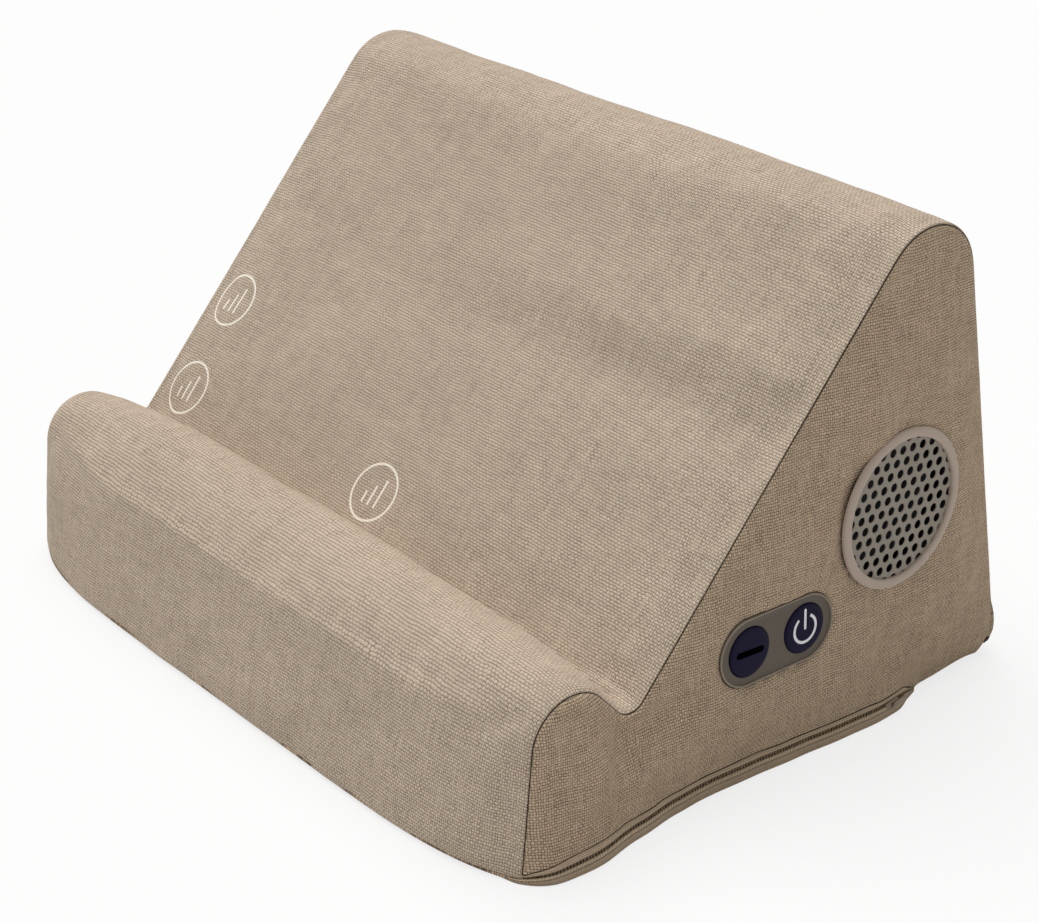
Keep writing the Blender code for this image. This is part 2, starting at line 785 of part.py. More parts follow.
def make_slider(line, along, coil_front, tape_back, half):
    """Slider around the coils, with two ears and a pin for the pull, its origin on its own centre."""
    size = Vector((SLIDER_LENGTH, SLIDER_PLATE, SLIDER_HEIGHT))
    outer = coil_front - GAP - SLIDER_PLATE / 2
    inner = tape_back + GAP + SLIDER_PLATE / 2
    face = outer - SLIDER_PLATE / 2
    body = mesh_from("zip_slider", box(size, (0, outer, 0)))
    slider = link("zip_slider", body, dark_metal(), PARTS, line)
    slider.location = (along, 0, 0)
    neck = Vector((SLIDER_LENGTH / 3, inner - outer, 2 * (half - GAP)))
    ear = Vector((SLIDER_PLATE, BAIL_HEIGHT + SLIDER_PLATE / 2, SLIDER_PLATE / 2))
    ear_y = face + SLIDER_PLATE / 4 - BAIL_HEIGHT / 2
    ear_z = PULL_WIDTH / 2 + GAP + ear.z / 2
    pin_y = face - BAIL_HEIGHT + GAP + PULL_THICKNESS / 2
    pieces = {
        "slider back plate": box(size, (0, inner, 0)),
        "slider neck": box(neck, (0, (inner + outer) / 2, 0)),
        "slider ear upper": box(ear, (0, ear_y, ear_z)),
        "slider ear lower": box(ear, (0, ear_y, -ear_z)),
        "slider pin": cylinder(PIN_RADIUS, -ear_z, ear_z, (0, pin_y), SCREW_STEPS),
    }
    for name, shape in pieces.items():
        combine(slider, cutter(name, mesh_from(name, shape), slider), "UNION")
    make_pull(line, along, pin_y)


def make_pull(line, along, pin_y):
    """Pull that swings on the slider's pin, its origin on the pin's axis."""
    eye = PIN_RADIUS + GAP
    head = eye + PULL_THICKNESS / 2
    shape = cylinder(head, -PULL_WIDTH / 2, PULL_WIDTH / 2, segments=SCREW_STEPS)
    pull = link("zip_pull", mesh_from("zip_pull", shape), dark_metal(), PARTS, line)
    pull.location = (along, pin_y, 0)
    tab_middle = (PULL_LENGTH + eye + head) / 2
    tab = box((PULL_LENGTH, PULL_THICKNESS, PULL_WIDTH - GAP), (tab_middle, 0, 0))
    combine(pull, cutter("pull tab", mesh_from("pull tab", tab), pull), "UNION")
    hole = cylinder(eye, -PULL_WIDTH, PULL_WIDTH, segments=SCREW_STEPS)
    cut(pull, cutter("pull eye", mesh_from("pull eye", hole), pull))


# Loudspeaker


def make_grille(mount):
    lip_back = GAP + RING_SEAT
    retainer_outer = BARREL_BORE - GAP
    retainer_inner = retainer_outer - RETAINER_WIDTH
    turned(
        "grille_ring",
        [
            (RING_LIP_RADIUS, RING_PROUD - RING_BEVEL), (RING_LIP_RADIUS + RING_BEVEL, RING_PROUD),
            (RING_RADIUS - 2 * RING_BEVEL, RING_PROUD), (RING_RADIUS, RING_PROUD - 2 * RING_BEVEL),
            (RING_RADIUS, GAP),
            (BARREL_RADIUS, GAP), (BARREL_RADIUS, -BARREL_DEPTH), (BARREL_BORE, -BARREL_DEPTH),
            (BARREL_BORE, lip_back), (RING_LIP_RADIUS, lip_back),
        ],
        ring_plastic(), mount, RING_STEPS,
    )
    plate_top = lip_back - GAP
    plate_low = plate_top - PLATE_THICKNESS
    shape = cylinder(retainer_outer, plate_low, plate_top, segments=RING_STEPS)
    plate = link("grille_plate", mesh_from("grille_plate", shape), plate_metal(), PARTS, mount)
    holes = bmesh.new()
    rows = int(HOLE_FIELD / HOLE_PITCH) + 2
    for row in range(-rows, rows + 1):
        for column in range(-2 * rows, 2 * rows + 1):
            x = (column + row / 2) * HOLE_PITCH
            y = row * HOLE_PITCH * sqrt(3) / 2
            if hypot(x, y) + HOLE_RADIUS <= HOLE_FIELD + HOLE_RADIUS / 2:
                add_sheet(holes, cylinder(HOLE_RADIUS, -2 * PLATE_THICKNESS, PLATE_THICKNESS, (x, y), 6))
    cut(plate, cutter("grille holes", mesh_from("grille holes", holes), mount))
    retainer_top = plate_low - GAP
    retainer_low = retainer_top - RETAINER_HEIGHT
    turned(
        "grille_retainer",
        [
            (retainer_inner, retainer_top), (retainer_outer, retainer_top),
            (retainer_outer, retainer_low), (retainer_inner, retainer_low),
        ],
        rubber(), mount, RING_STEPS,
    )


def make_cup(mount):
    """Loudspeaker housing behind the panel: a cup with a flange and a ledge for the basket."""
    inner = BARREL_RADIUS + GAP
    outer = inner + CUP_WALL
    ledge = BARREL_DEPTH + GAP + BASKET_SHEET + GAP
    flange_back = CUP_FLANGE_DEPTH + FLANGE_THICKNESS
    return turned(
        "speaker_housing",
        [
            (0, -CUP_DEPTH + CUP_WALL), (inner, -CUP_DEPTH + CUP_WALL), (inner, -ledge - LEDGE_THICKNESS),
            (LEDGE_RADIUS, -ledge - LEDGE_THICKNESS), (LEDGE_RADIUS, -ledge), (inner, -ledge),
            (inner, -CUP_FLANGE_DEPTH), (CUP_FLANGE_RADIUS, -CUP_FLANGE_DEPTH),
            (CUP_FLANGE_RADIUS, -flange_back), (outer, -flange_back),
            (outer, -CUP_DEPTH), (0, -CUP_DEPTH),
        ],
        black_plastic(), mount, RING_STEPS,
    )


def make_driver(mount, cup):
    """Driver on the cup's ledge: basket, surround, cone, dust cap, coil, spider and magnet."""
    top = -BARREL_DEPTH - GAP
    flange_radius = BARREL_RADIUS + GAP - 2 * GAP
    floor = top - BASKET_HEIGHT
    coil_bore = COIL_RADIUS + 2 * GAP
    leg = BASKET_SHEET
    basket = turned(
        "speaker_basket",
        [
            (BASKET_OPENING, top), (flange_radius, top), (flange_radius, top - leg),
            (BASKET_OPENING + leg, top - leg),
            (BASKET_FLOOR_RADIUS, floor + leg), (BASKET_FLOOR_RADIUS, floor), (coil_bore, floor),
            (coil_bore, floor + leg), (BASKET_FLOOR_RADIUS - leg, floor + leg), (BASKET_OPENING, top - leg),
        ],
        steel(), mount,
    )
    window_height = BASKET_HEIGHT / 2
    window_middle = top - BASKET_HEIGHT / 2 - leg / 2
    across = 2 * flange_radius
    sizes = {"x": (across, WINDOW_WIDTH, window_height), "y": (WINDOW_WIDTH, across, window_height)}
    for name, size in sizes.items():
        window = cutter(f"basket window {name}", mesh_from("window", box(size, (0, 0, window_middle))), mount)
        cut(basket, window)

    skin = ROLL_SKIN
    rim = top + GAP
    roll_mid = SURROUND_RADIUS - ROLL_OUTER_LIP - ROLL_RADIUS
    over = [
        (roll_mid - (ROLL_RADIUS + skin / 2) * cos(a), rim + skin + (ROLL_RADIUS + skin / 2) * sin(a))
        for a in (pi * k / ROLL_STEPS for k in range(1, ROLL_STEPS))
    ]
    under = [
        (roll_mid - (ROLL_RADIUS - skin / 2) * cos(a), rim + skin * 0.4 + (ROLL_RADIUS - skin / 2) * sin(a))
        for a in (pi * k / ROLL_STEPS for k in range(ROLL_STEPS - 1, 0, -1))
    ]
    turned(
        "speaker_surround",
        [(CONE_RADIUS + GAP, rim + skin)] + over
        + [(SURROUND_RADIUS, rim + skin), (SURROUND_RADIUS, rim)]
        + under + [(CONE_RADIUS + GAP, rim)],
        rubber(), mount,
    )

    neck = COIL_RADIUS + GAP
    slope = CONE_RISE / (CONE_RADIUS - neck)
    cone_floor = rim - CONE_RISE
    turned(
        "speaker_cone",
        [
            (neck, cone_floor + CONE_PAPER), (CONE_RADIUS, rim + CONE_PAPER),
            (CONE_RADIUS, rim), (neck, cone_floor),
        ],
        paper(), mount,
    )
    cap_base = cone_floor + CONE_PAPER + (DUST_CAP_RADIUS - neck) * slope + GAP
    dome = [
        (DUST_CAP_RADIUS * sin(a), cap_base + DUST_CAP_RISE * cos(a))
        for a in (pi / 8 * k for k in range(1, 5))
    ]
    turned(
        "dust_cap",
        [(0, cap_base + DUST_CAP_RISE)] + dome + [(0, cap_base)],
        paper(), mount,
    )
    coil_top = cone_floor + CONE_PAPER
    turned(
        "voice_coil",
        [
            (COIL_RADIUS - COIL_WALL, coil_top), (COIL_RADIUS, coil_top),
            (COIL_RADIUS, coil_top - COIL_LENGTH), (COIL_RADIUS - COIL_WALL, coil_top - COIL_LENGTH),
        ],
        copper(), mount,
    )
    spider_level = floor + SPIDER_RISE
    spider_outer = basket_inner_radius(top - leg, floor + leg, spider_level) - 2 * GAP
    turned(
        "speaker_spider",
        [
            (neck, spider_level + skin), (spider_outer, spider_level + skin),
            (spider_outer, spider_level), (neck, spider_level),
        ],
        material("ochre cloth", (0.45, 0.28, 0.10), 0.9), mount,
    )
    plate_top = floor - GAP
    turned(
        "magnet_front_plate",
        [
            (coil_bore, plate_top), (IRON_RADIUS, plate_top),
            (IRON_RADIUS, plate_top - IRON_THICKNESS), (coil_bore, plate_top - IRON_THICKNESS),
        ],
        steel(), mount,
    )
    magnet_top = plate_top - IRON_THICKNESS - GAP
    magnet_low = magnet_top - MAGNET_THICKNESS
    magnet_bore = coil_bore + MAGNET_CLEARANCE
    turned(
        "speaker_magnet",
        [
            (magnet_bore, magnet_top), (MAGNET_RADIUS, magnet_top),
            (MAGNET_RADIUS, magnet_low), (magnet_bore, magnet_low),
        ],
        ferrite(), mount,
    )
    yoke_top = magnet_low - GAP
    pole = COIL_RADIUS - COIL_WALL - GAP
    turned(
        "magnet_yoke",
        [
            (0, plate_top), (pole, plate_top), (pole, yoke_top), (IRON_RADIUS, yoke_top),
            (IRON_RADIUS, yoke_top - IRON_THICKNESS), (0, yoke_top - IRON_THICKNESS),
        ],
        steel(), mount,
    )
    screw_circle = SURROUND_RADIUS + SCREW_BAND / 2
    for index in range(BASKET_SCREWS):
        angle = pi / 4 + 2 * pi * index / BASKET_SCREWS
        centre = (screw_circle * cos(angle), screw_circle * sin(angle))
        length = BASKET_SHEET + GAP + LEDGE_THICKNESS
        name = f"basket_screw_{index + 1}"
        make_screw(name, mount, Vector((*centre, top + GAP)), length, [basket, cup])


def basket_inner_radius(high, low, level):
    share = (level - low) / (high - low)
    return BASKET_FLOOR_RADIUS - BASKET_SHEET + (BASKET_OPENING - BASKET_FLOOR_RADIUS + BASKET_SHEET) * share


def make_screw(name, mount, seat, length, targets, direction=1):
    """Screw whose head rests at seat, with its clearance hole cut through the targets."""
    screw = turned(
        name,
        [
            (0, SCREW_HEAD_HEIGHT), (SCREW_HEAD_RADIUS, SCREW_HEAD_HEIGHT), (SCREW_HEAD_RADIUS, 0),
            (SCREW_SHANK_RADIUS, 0), (SCREW_SHANK_RADIUS, -length), (0, -length),
        ],
        steel(), mount, SCREW_STEPS,
    )
    bore = cylinder(SCREW_SHANK_RADIUS + GAP, -length - CUT_MARGIN, GAP, segments=SCREW_STEPS)
    hole = cutter(
        f"{name} hole",
        mesh_from("screw hole", bore),
        mount,
    )
    for item in (screw, hole):
        item.location = seat
        if direction < 0:
            item.rotation_euler = (pi, 0, 0)
    for target in targets:
        cut(target, hole)


# Controls


def make_controls(mount):
    """Control panel with its buttons, board, battery and case."""
    pad_inner = PAD_RADIUS - RIM_WIDTH
    flange_front = PLATE_BACK - BASKET_SHEET
    shape = stacked(
        STADIUM_HALF,
        [
            (CASE_RADIUS + GAP, -PLATE_BACK), (CASE_RADIUS + GAP, -flange_front), (PAD_RADIUS, -flange_front),
            (PAD_RADIUS, -RIM_DEPTH), (pad_inner, -RIM_DEPTH), (pad_inner, -PAD_DEPTH),
        ],
    )
    bezel = link("control_bezel", mesh_from("control_bezel", shape), panel_plastic(), PARTS, mount)
    shape = stacked(
        STADIUM_HALF,
        [
            (CASE_RADIUS - CASE_WALL, -CASE_DEPTH + CASE_WALL), (CASE_RADIUS - CASE_WALL, -PLATE_BACK - GAP),
            (CASE_RADIUS, -PLATE_BACK - GAP), (CASE_RADIUS, -CASE_DEPTH),
        ],
    )
    case = link("control_housing", mesh_from("control_housing", shape), black_plastic(), PARTS, mount)
    board_radius = CASE_RADIUS - CASE_WALL - GAP
    board_back = -BOARD_DEPTH - BOARD_THICKNESS
    shape = stacked(STADIUM_HALF, [(board_radius, board_back), (board_radius, -BOARD_DEPTH)])
    board = link("control_board", mesh_from("control_board", shape), circuit_green(), PARTS, mount)

    for index, end in enumerate((-1, 1), 1):
        seat = Vector((0, end * BOSS_OFFSET, board_back - GAP))
        boss_end = -BOARD_DEPTH + GAP
        boss = cylinder(BOSS_RADIUS, boss_end, -PLATE_BACK + GAP, (0, end * BOSS_OFFSET), SCREW_STEPS)
        combine(bezel, cutter(f"boss {index}", mesh_from("boss", boss), mount), "UNION")
        length = BOARD_THICKNESS + GAP + BOSS_GRIP
        make_screw(f"board_screw_{index}", mount, seat, length, [board, bezel], direction=-1)

    for name, end in (("mode", -1), ("power", 1)):
        centre = Vector((end * BUTTON_PITCH / 2, 0, 0))
        make_button(name, mount, centre, bezel)
    battery_floor = -CASE_DEPTH + CASE_WALL + GAP
    size = (BATTERY_LENGTH, BATTERY_WIDTH, BATTERY_THICKNESS)
    shape = box(size, (0, 0, battery_floor + BATTERY_THICKNESS / 2), BATTERY_BEVEL)
    link("battery_cell", mesh_from("battery_cell", shape), battery_film(), PARTS, mount)
    battery_top = battery_floor + BATTERY_THICKNESS
    foot = Vector((BATTERY_LEAD_FROM_END - BATTERY_LENGTH / 2, BATTERY_LEAD_FROM_MIDDLE, battery_top + GAP))
    top = foot + Vector((BATTERY_LEAD_SHIFT, BATTERY_LEAD_SHIFT, 0))
    top.z = board_back - GAP
    points = []
    for share in (0, 1 / 3, 2 / 3, 1):
        point = foot.lerp(top, smooth(share))
        point.z = foot.z + (top.z - foot.z) * share
        points.append(point)
    link("battery_lead", tube_mesh("battery_lead", points, BATTERY_LEAD_RADIUS), lead_sheath(), PARTS, mount)
    return bezel, case


def make_button(name, mount, centre, bezel):
    """Push button with a retaining flange, its switch on the board and the plunger between them."""
    front = -RIM_DEPTH
    flange_top = -PLATE_BACK - GAP
    flange_low = flange_top - BASKET_SHEET
    button = turned(
        f"{name}_button",
        [
            (0, front), (BUTTON_RADIUS - BUTTON_BEVEL, front), (BUTTON_RADIUS, front - BUTTON_BEVEL),
            (BUTTON_RADIUS, flange_top), (BUTTON_FLANGE_RADIUS, flange_top),
            (BUTTON_FLANGE_RADIUS, flange_low), (0, flange_low),
        ],
        button_plastic(), mount, BUTTON_STEPS,
    )
    shape = cylinder(BUTTON_RADIUS + GAP, -PLATE_BACK - CUT_MARGIN, CUT_MARGIN, segments=BUTTON_STEPS)
    opening = cutter(f"{name} opening", mesh_from("opening", shape), mount)
    button.location = centre
    opening.location = centre
    cut(bezel, opening)
    if name == "mode":
        half = (DASH_LENGTH - DASH_WIDTH) / 2
        radius = DASH_WIDTH / 2
        dash = stacked(half, [(radius, front - DASH_SINK), (radius, front + CUT_MARGIN)], 4)
        cut(button, cutter("dash recess", mesh_from("dash recess", dash), button))
    switch_low = -BOARD_DEPTH + GAP
    switch_top = switch_low + SWITCH_HEIGHT
    shape = box((SWITCH_SIZE, SWITCH_SIZE, SWITCH_HEIGHT), (0, 0, (switch_low + switch_top) / 2))
    switch = link(f"{name}_switch", mesh_from("switch", shape), black_plastic(), PARTS, mount)
    bore_low = switch_low + SWITCH_FLOOR
    shape = cylinder(PLUNGER_RADIUS + GAP, bore_low, switch_top + CUT_MARGIN, segments=SCREW_STEPS)
    bore = cutter(f"{name} switch bore", mesh_from("bore", shape), mount)
    plunger_low = bore_low + BUTTON_TRAVEL + GAP
    plunger = link(
        f"{name}_plunger",
        mesh_from("plunger", cylinder(PLUNGER_RADIUS, plunger_low, flange_low - GAP, segments=SCREW_STEPS)),
        button_plastic(), PARTS, mount,
    )
    for item in (switch, bore, plunger):
        item.location = centre
    cut(switch, bore)


def lead_route(speaker, controls):
    """Route of the loudspeaker lead, from the board through both housings to the basket."""
    to_speaker = controls.matrix_world.inverted() @ speaker.matrix_world.translation
    heading = Vector((to_speaker.x, to_speaker.y, 0)).normalized()
    end_centre = Vector((STADIUM_HALF, 0, 0))
    board_back = -BOARD_DEPTH - BOARD_THICKNESS - GAP
    level = board_back - LEAD_DROP
    near = [
        end_centre + heading * LEAD_EXIT + Vector((0, 0, board_back)),
        end_centre + heading * LEAD_EXIT + Vector((0, 0, board_back - LEAD_DROP * 0.4)),
        end_centre + heading * LEAD_EXIT * 1.5 + Vector((0, 0, board_back - LEAD_DROP * 0.8)),
        end_centre + heading * (CASE_RADIUS - CASE_WALL / 2) + Vector((0, 0, level)),
    ]
    to_controls = speaker.matrix_world.inverted() @ controls.matrix_world.translation
    back_heading = Vector((to_controls.x, to_controls.y, 0)).normalized()
    wall = BARREL_RADIUS + GAP + CUP_WALL / 2
    end = BASKET_OPENING - BASKET_SHEET + SPEAKER_LEAD_RADIUS
    fall = Vector((0, 0, level - LEAD_FALL))
    far = [back_heading * wall + fall, back_heading * end + fall]
    return [controls.matrix_world @ p for p in near] + [speaker.matrix_world @ p for p in far]


def make_lead(route, targets):
    link("speaker_lead", tube_mesh("speaker_lead", route, SPEAKER_LEAD_RADIUS), lead_sheath(), PARTS)
    channel = cutter("lead channel", tube_mesh("lead channel", route, SPEAKER_LEAD_RADIUS + 2 * GAP))
    for target in targets:
        cut(target, channel)


def make_pockets(core, side, speaker, controls):
    """Holes in the right panel, and pockets in the foam behind it."""
    hole = cylinder(BARREL_RADIUS + GAP, -PANEL_CUT_DEPTH, POCKET_REACH, segments=RING_STEPS)
    cut(side, cutter("speaker hole", mesh_from("speaker hole", hole), speaker))
    radius = PAD_RADIUS + GAP
    hole = stacked(STADIUM_HALF, [(radius, -PANEL_CUT_DEPTH), (radius, POCKET_REACH)])
    cut(side, cutter("panel hole", mesh_from("panel hole", hole), controls))
    cup_outer = BARREL_RADIUS + GAP + CUP_WALL
    flange_low = -CUP_FLANGE_DEPTH - FLANGE_THICKNESS
    bore = turned(
        "speaker pocket",
        [
            (0, POCKET_REACH), (CUP_FLANGE_RADIUS + GAP, POCKET_REACH),
            (CUP_FLANGE_RADIUS + GAP, flange_low - GAP),
            (cup_outer + GAP, flange_low - GAP), (cup_outer + GAP, -CUP_DEPTH - GAP), (0, -CUP_DEPTH - GAP),
        ],
        None, speaker, RING_STEPS, CUTTERS,
    )
    bore.hide_render = True
    bore.display_type = "WIRE"
    radius = CASE_RADIUS + 2 * GAP
    pocket = stacked(STADIUM_HALF, [(radius, -CASE_DEPTH - GAP), (radius, POCKET_REACH)])
    case_pocket = cutter("controls pocket", mesh_from("controls pocket", pocket), controls)
    cut(core, bore, case_pocket)


clear_scene()
PARTS = new_collection("tablet_cushion_stand")
CUTTERS = new_collection("cutters")
SECTION = make_section()
MIDDLE = Vector((0, 0, VALLEY_HEIGHT / 2))

make_wrap()
right_panel = make_side("cover_side_right", 1)
make_side("cover_side_left", -1)
make_base()
foam_core = make_foam()
speaker_mount = side_frame("speaker_mount", FRONT + SPEAKER_FROM_FRONT, SPEAKER_HEIGHT)
control_mount = side_frame("control_mount", FRONT + CONTROLS_FROM_FRONT, CONTROLS_HEIGHT)
zip_line, zip_length = zip_frame()
bpy.context.view_layer.update()
make_zip(zip_line, zip_length)
make_grille(speaker_mount)
housing = make_cup(speaker_mount)
make_driver(speaker_mount, housing)
bezel_plate, control_case = make_controls(control_mount)
make_pockets(foam_core, right_panel, speaker_mount, control_mount)
make_lead(lead_route(speaker_mount, control_mount), [foam_core, control_case, housing])
bpy.context.view_layer.update()
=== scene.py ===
"""Looks of a tablet cushion stand: sewn covers, zip, loudspeaker grille, button panel, stage and camera."""

from math import cos, exp, hypot, pi, radians, sin, tan

import bmesh
import bpy
from mathutils import Matrix, Vector, kdtree, noise


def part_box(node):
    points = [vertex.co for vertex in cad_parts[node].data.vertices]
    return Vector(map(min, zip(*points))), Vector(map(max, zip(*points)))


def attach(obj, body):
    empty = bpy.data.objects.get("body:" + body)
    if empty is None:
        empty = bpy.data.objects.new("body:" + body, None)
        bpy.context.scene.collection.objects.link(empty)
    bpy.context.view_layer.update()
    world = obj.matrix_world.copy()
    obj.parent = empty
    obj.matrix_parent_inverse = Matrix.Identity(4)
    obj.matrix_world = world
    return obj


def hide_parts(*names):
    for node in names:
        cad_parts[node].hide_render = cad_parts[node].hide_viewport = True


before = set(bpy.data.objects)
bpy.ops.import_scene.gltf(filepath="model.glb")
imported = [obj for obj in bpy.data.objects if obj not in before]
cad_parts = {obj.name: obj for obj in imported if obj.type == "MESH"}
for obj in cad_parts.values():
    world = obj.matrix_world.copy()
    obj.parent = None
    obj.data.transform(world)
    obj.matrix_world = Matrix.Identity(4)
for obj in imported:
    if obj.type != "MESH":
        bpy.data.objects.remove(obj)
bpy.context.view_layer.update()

bl_info = {
    "name": "Tablet Cushion Stand",
    "version": (1, 0, 0),
    "blender": (4, 5, 0),
    "location": "View3D > Sidebar > Cushion",
    "description": "Dresses the packed cushion stand with covers, zip, grille and buttons",
    "category": "Object",
}

MM = 0.001

# Section of the cushion, the same as in its source: y runs to the back, z runs up
SEAM_WIDTH = 300 * MM
BASE_DEPTH = 232 * MM
FRONT_LEAN = radians(5.0)
LIP_SLOPE = radians(48.0)
LIP_RADIUS = 17 * MM
VALLEY_DEPTH = 46.5 * MM
VALLEY_HEIGHT = 43.1 * MM
VALLEY_RADIUS = 6.5 * MM
REST_SLOPE = radians(49.1)
RIDGE_RADIUS = 23 * MM
BACK_LEAN = radians(11.0)
HEEL_RADIUS = 9 * MM
CROWN_FRONT_FOOT = 13.6 * MM
CROWN_LIP = 4 * MM
CROWN_VALLEY = 1.5 * MM
CROWN_RIDGE = 3.2 * MM
CROWN_HEEL = 8 * MM
CROWN_POWER = 6
SIDE_BULGE = 5 * MM
SIDE_ROUNDING = 20 * MM
FLARE_HEIGHT = 30 * MM
FLARE_CORNER = 4 * MM
LEFT_REACH = 5.5 * MM
TAIL_REACH = 0.8 * MM
ZIP_START = 11.5 * MM
ZIP_STRAIGHT_END = 173 * MM
ZIP_TAIL_END = 191 * MM
ZIP_REACH_FRONT = 10.5 * MM
ZIP_REACH_BACK = 6.8 * MM
SPEAKER_FROM_FRONT = 0.7151 * BASE_DEPTH
SPEAKER_HEIGHT = 83.1 * MM
CONTROLS_FROM_FRONT = 0.466 * BASE_DEPTH
CONTROLS_HEIGHT = 52.2 * MM

HALF_WIDTH = SEAM_WIDTH / 2
FRONT = -BASE_DEPTH / 2
BACK = BASE_DEPTH / 2
SOLE = 0.4 * MM
TUCK_RADIUS = 3.5 * MM
ARC_STEP = radians(9)
RUN_STEP = 5 * MM
WELD = 0.01 * MM

# Places along the right foot from front to back, and how far it stands out there, in millimetres
FOOT_CURVE = [
    (-116, 6.5), (-106, 9.3), (-92, 9.8), (-70, 5.9), (-50, 3.0), (-38, 2.3), (-15, 3.2), (5, 4.7), (27, 6.4),
    (44, 7.2), (55, 6.4), (65, 3.0), (74, 0.3), (116, 0.2),
]
WAIST_HEIGHT = 24 * MM
HEEL_TUCK = 2.8 * MM
ZIP_TOP = 8.8 * MM
ZIP_LAST = FRONT + 187 * MM
ZIP_FALL = 16 * MM
ZIP_CLIMB = 9 * MM
ZIP_LOWEST = 0.36

# Distances of the sheet's columns from a seam, closer together beside it
SEAM_COLUMNS = [0.0, 0.6, 1.3, 2.2, 3.4, 5.0, 7.2, 10.0, 13.5, 18.0, 23.5]
MIDDLE_COLUMNS = 42
SIDE_ROWS = 22

WRAP, RIGHT, LEFT, BASE = range(4)


# Settings that a user would change


def colour_setting(name, description, default):
    return bpy.props.FloatVectorProperty(
        name=name, description=description, subtype="COLOR", size=3, min=0, max=1, default=default
    )


def length_setting(name, description, millimetres):
    return bpy.props.FloatProperty(
        name=name, description=description, unit="LENGTH", default=millimetres * MM, precision=5
    )


class CushionFabric(bpy.types.PropertyGroup):
    """Threads and colours of the covers."""

    wrap_thread: colour_setting(
        "Wrap thread", "Colour of the wrap panel's threads where they lie on top", (0.735, 0.60, 0.47)
    )
    # The gap colours are partly the cloth seen between the threads and partly painted shade, laid where the weave is
    # low
    wrap_gap_shade: colour_setting("Wrap gap", "Colour between the wrap panel's threads", (0.27, 0.205, 0.148))
    side_thread: colour_setting(
        "Side thread", "Colour of the side panels' threads where they lie on top", (0.69, 0.527, 0.37)
    )
    # Partly painted shade between the side panels' threads
    side_gap_shade: colour_setting("Side gap", "Colour between the side panels' threads", (0.165, 0.115, 0.074))
    wrap_pitch_x: length_setting("Wrap thread pitch across", "Distance between threads across the wrap panel", 0.87)
    wrap_pitch_y: length_setting("Wrap thread pitch along", "Distance between threads along the wrap panel", 1.08)
    side_pitch_x: length_setting(
        "Side thread pitch along", "Distance between the upright threads of the side panels", 0.8
    )
    side_pitch_y: length_setting("Side thread pitch up", "Distance between the level threads of the side panels", 1.0)
    thread_depth: length_setting("Weave depth", "Height of the threads in the bump", 0.22)
    seam_depth: length_setting("Seam depth", "How far the seams pull into the cushion", 0.55)
    fold_depth: length_setting("Fold depth", "Depth of the long fold on the sloping face", 3.2)
    cover_thickness: length_setting("Cover thickness", "Thickness of the fabric", 1.2)


class CushionPrint(bpy.types.PropertyGroup):
    """Round marks printed on the sloping face."""

    colour: colour_setting("Ink", "Colour of the printed marks", (1.0, 0.92, 0.80))
    radius: length_setting("Ring radius", "Radius of each printed ring, to the middle of its line", 11.2)
    line: length_setting("Line width", "Width of the printed lines", 0.95)


class CushionHardware(bpy.types.PropertyGroup):
    """Colours of the zip, grille and buttons."""

    ring: colour_setting("Grille ring", "Colour of the ring round the grille", (0.47, 0.375, 0.305))
    plate: colour_setting("Grille plate", "Colour of the perforated plate", (0.30, 0.262, 0.215))
    panel: colour_setting("Button panel", "Colour of the long panel round the buttons", (0.124, 0.102, 0.078))
    button: colour_setting("Buttons", "Colour of the two buttons", (0.006, 0.004, 0.022))
    symbol: colour_setting("Power symbol", "Colour of the power symbol", (0.86, 0.85, 0.87))
    zip_tape: colour_setting("Zip tape", "Colour of the zip's tape and folded edge", (0.50, 0.385, 0.27))
    hole_radius: length_setting("Hole radius", "Radius of the holes in the grille", 1.66)
    hole_pitch: length_setting("Hole pitch", "Distance between neighbouring holes in the grille", 5.1)


class CushionStage(bpy.types.PropertyGroup):
    """Lights and floor."""

    key: bpy.props.FloatProperty(
        name="Key light", description="Strength of the soft key light", min=0, default=2.52,
    )
    sky: bpy.props.FloatProperty(
        name="Room light", description="Strength of the even light from all round", min=0, default=0.315,
    )
    spread: bpy.props.FloatProperty(
        name="Key spread", description="Angle that the soft key light spans", subtype="ANGLE",
        default=radians(62),
    )
    lift: bpy.props.FloatProperty(
        name="Floor lift", description="How much nearer to white the floor looks than it is lit", min=0, max=1,
        default=0.77,
    )
    floor: colour_setting("Floor", "Colour of the floor", (0.86, 0.857, 0.85))


# Shader nodes from Python expressions


def both_ways(operation):
    """An operator and its reflected form, each of which adds one Math node."""
    return (
        lambda self, other: self.math(operation, self, other),
        lambda self, other: self.math(operation, other, self),
    )


class Signal:
    """Output of a shader node that can stand in arithmetic."""

    def __init__(self, graph, socket):
        self.graph = graph
        self.socket = socket

    def math(self, operation, first, second=None):
        inputs = {0: first} if second is None else {0: first, 1: second}
        return self.graph.node("ShaderNodeMath", {"operation": operation}, inputs)

    __add__, __radd__ = both_ways("ADD")
    __sub__, __rsub__ = both_ways("SUBTRACT")
    __mul__, __rmul__ = both_ways("MULTIPLY")
    __truediv__, __rtruediv__ = both_ways("DIVIDE")

    def __pow__(self, other):
        return self.math("POWER", self, other)

    def __abs__(self):
        return self.math("ABSOLUTE", self)

    def __gt__(self, other):
        return self.math("GREATER_THAN", self, other)

    def sin(self):
        return self.math("SINE", self)

    def floor(self):
        return self.math("FLOOR", self)

    def root(self):
        return self.math("SQRT", self)

    def larger(self, other):
        return self.math("MAXIMUM", self, other)


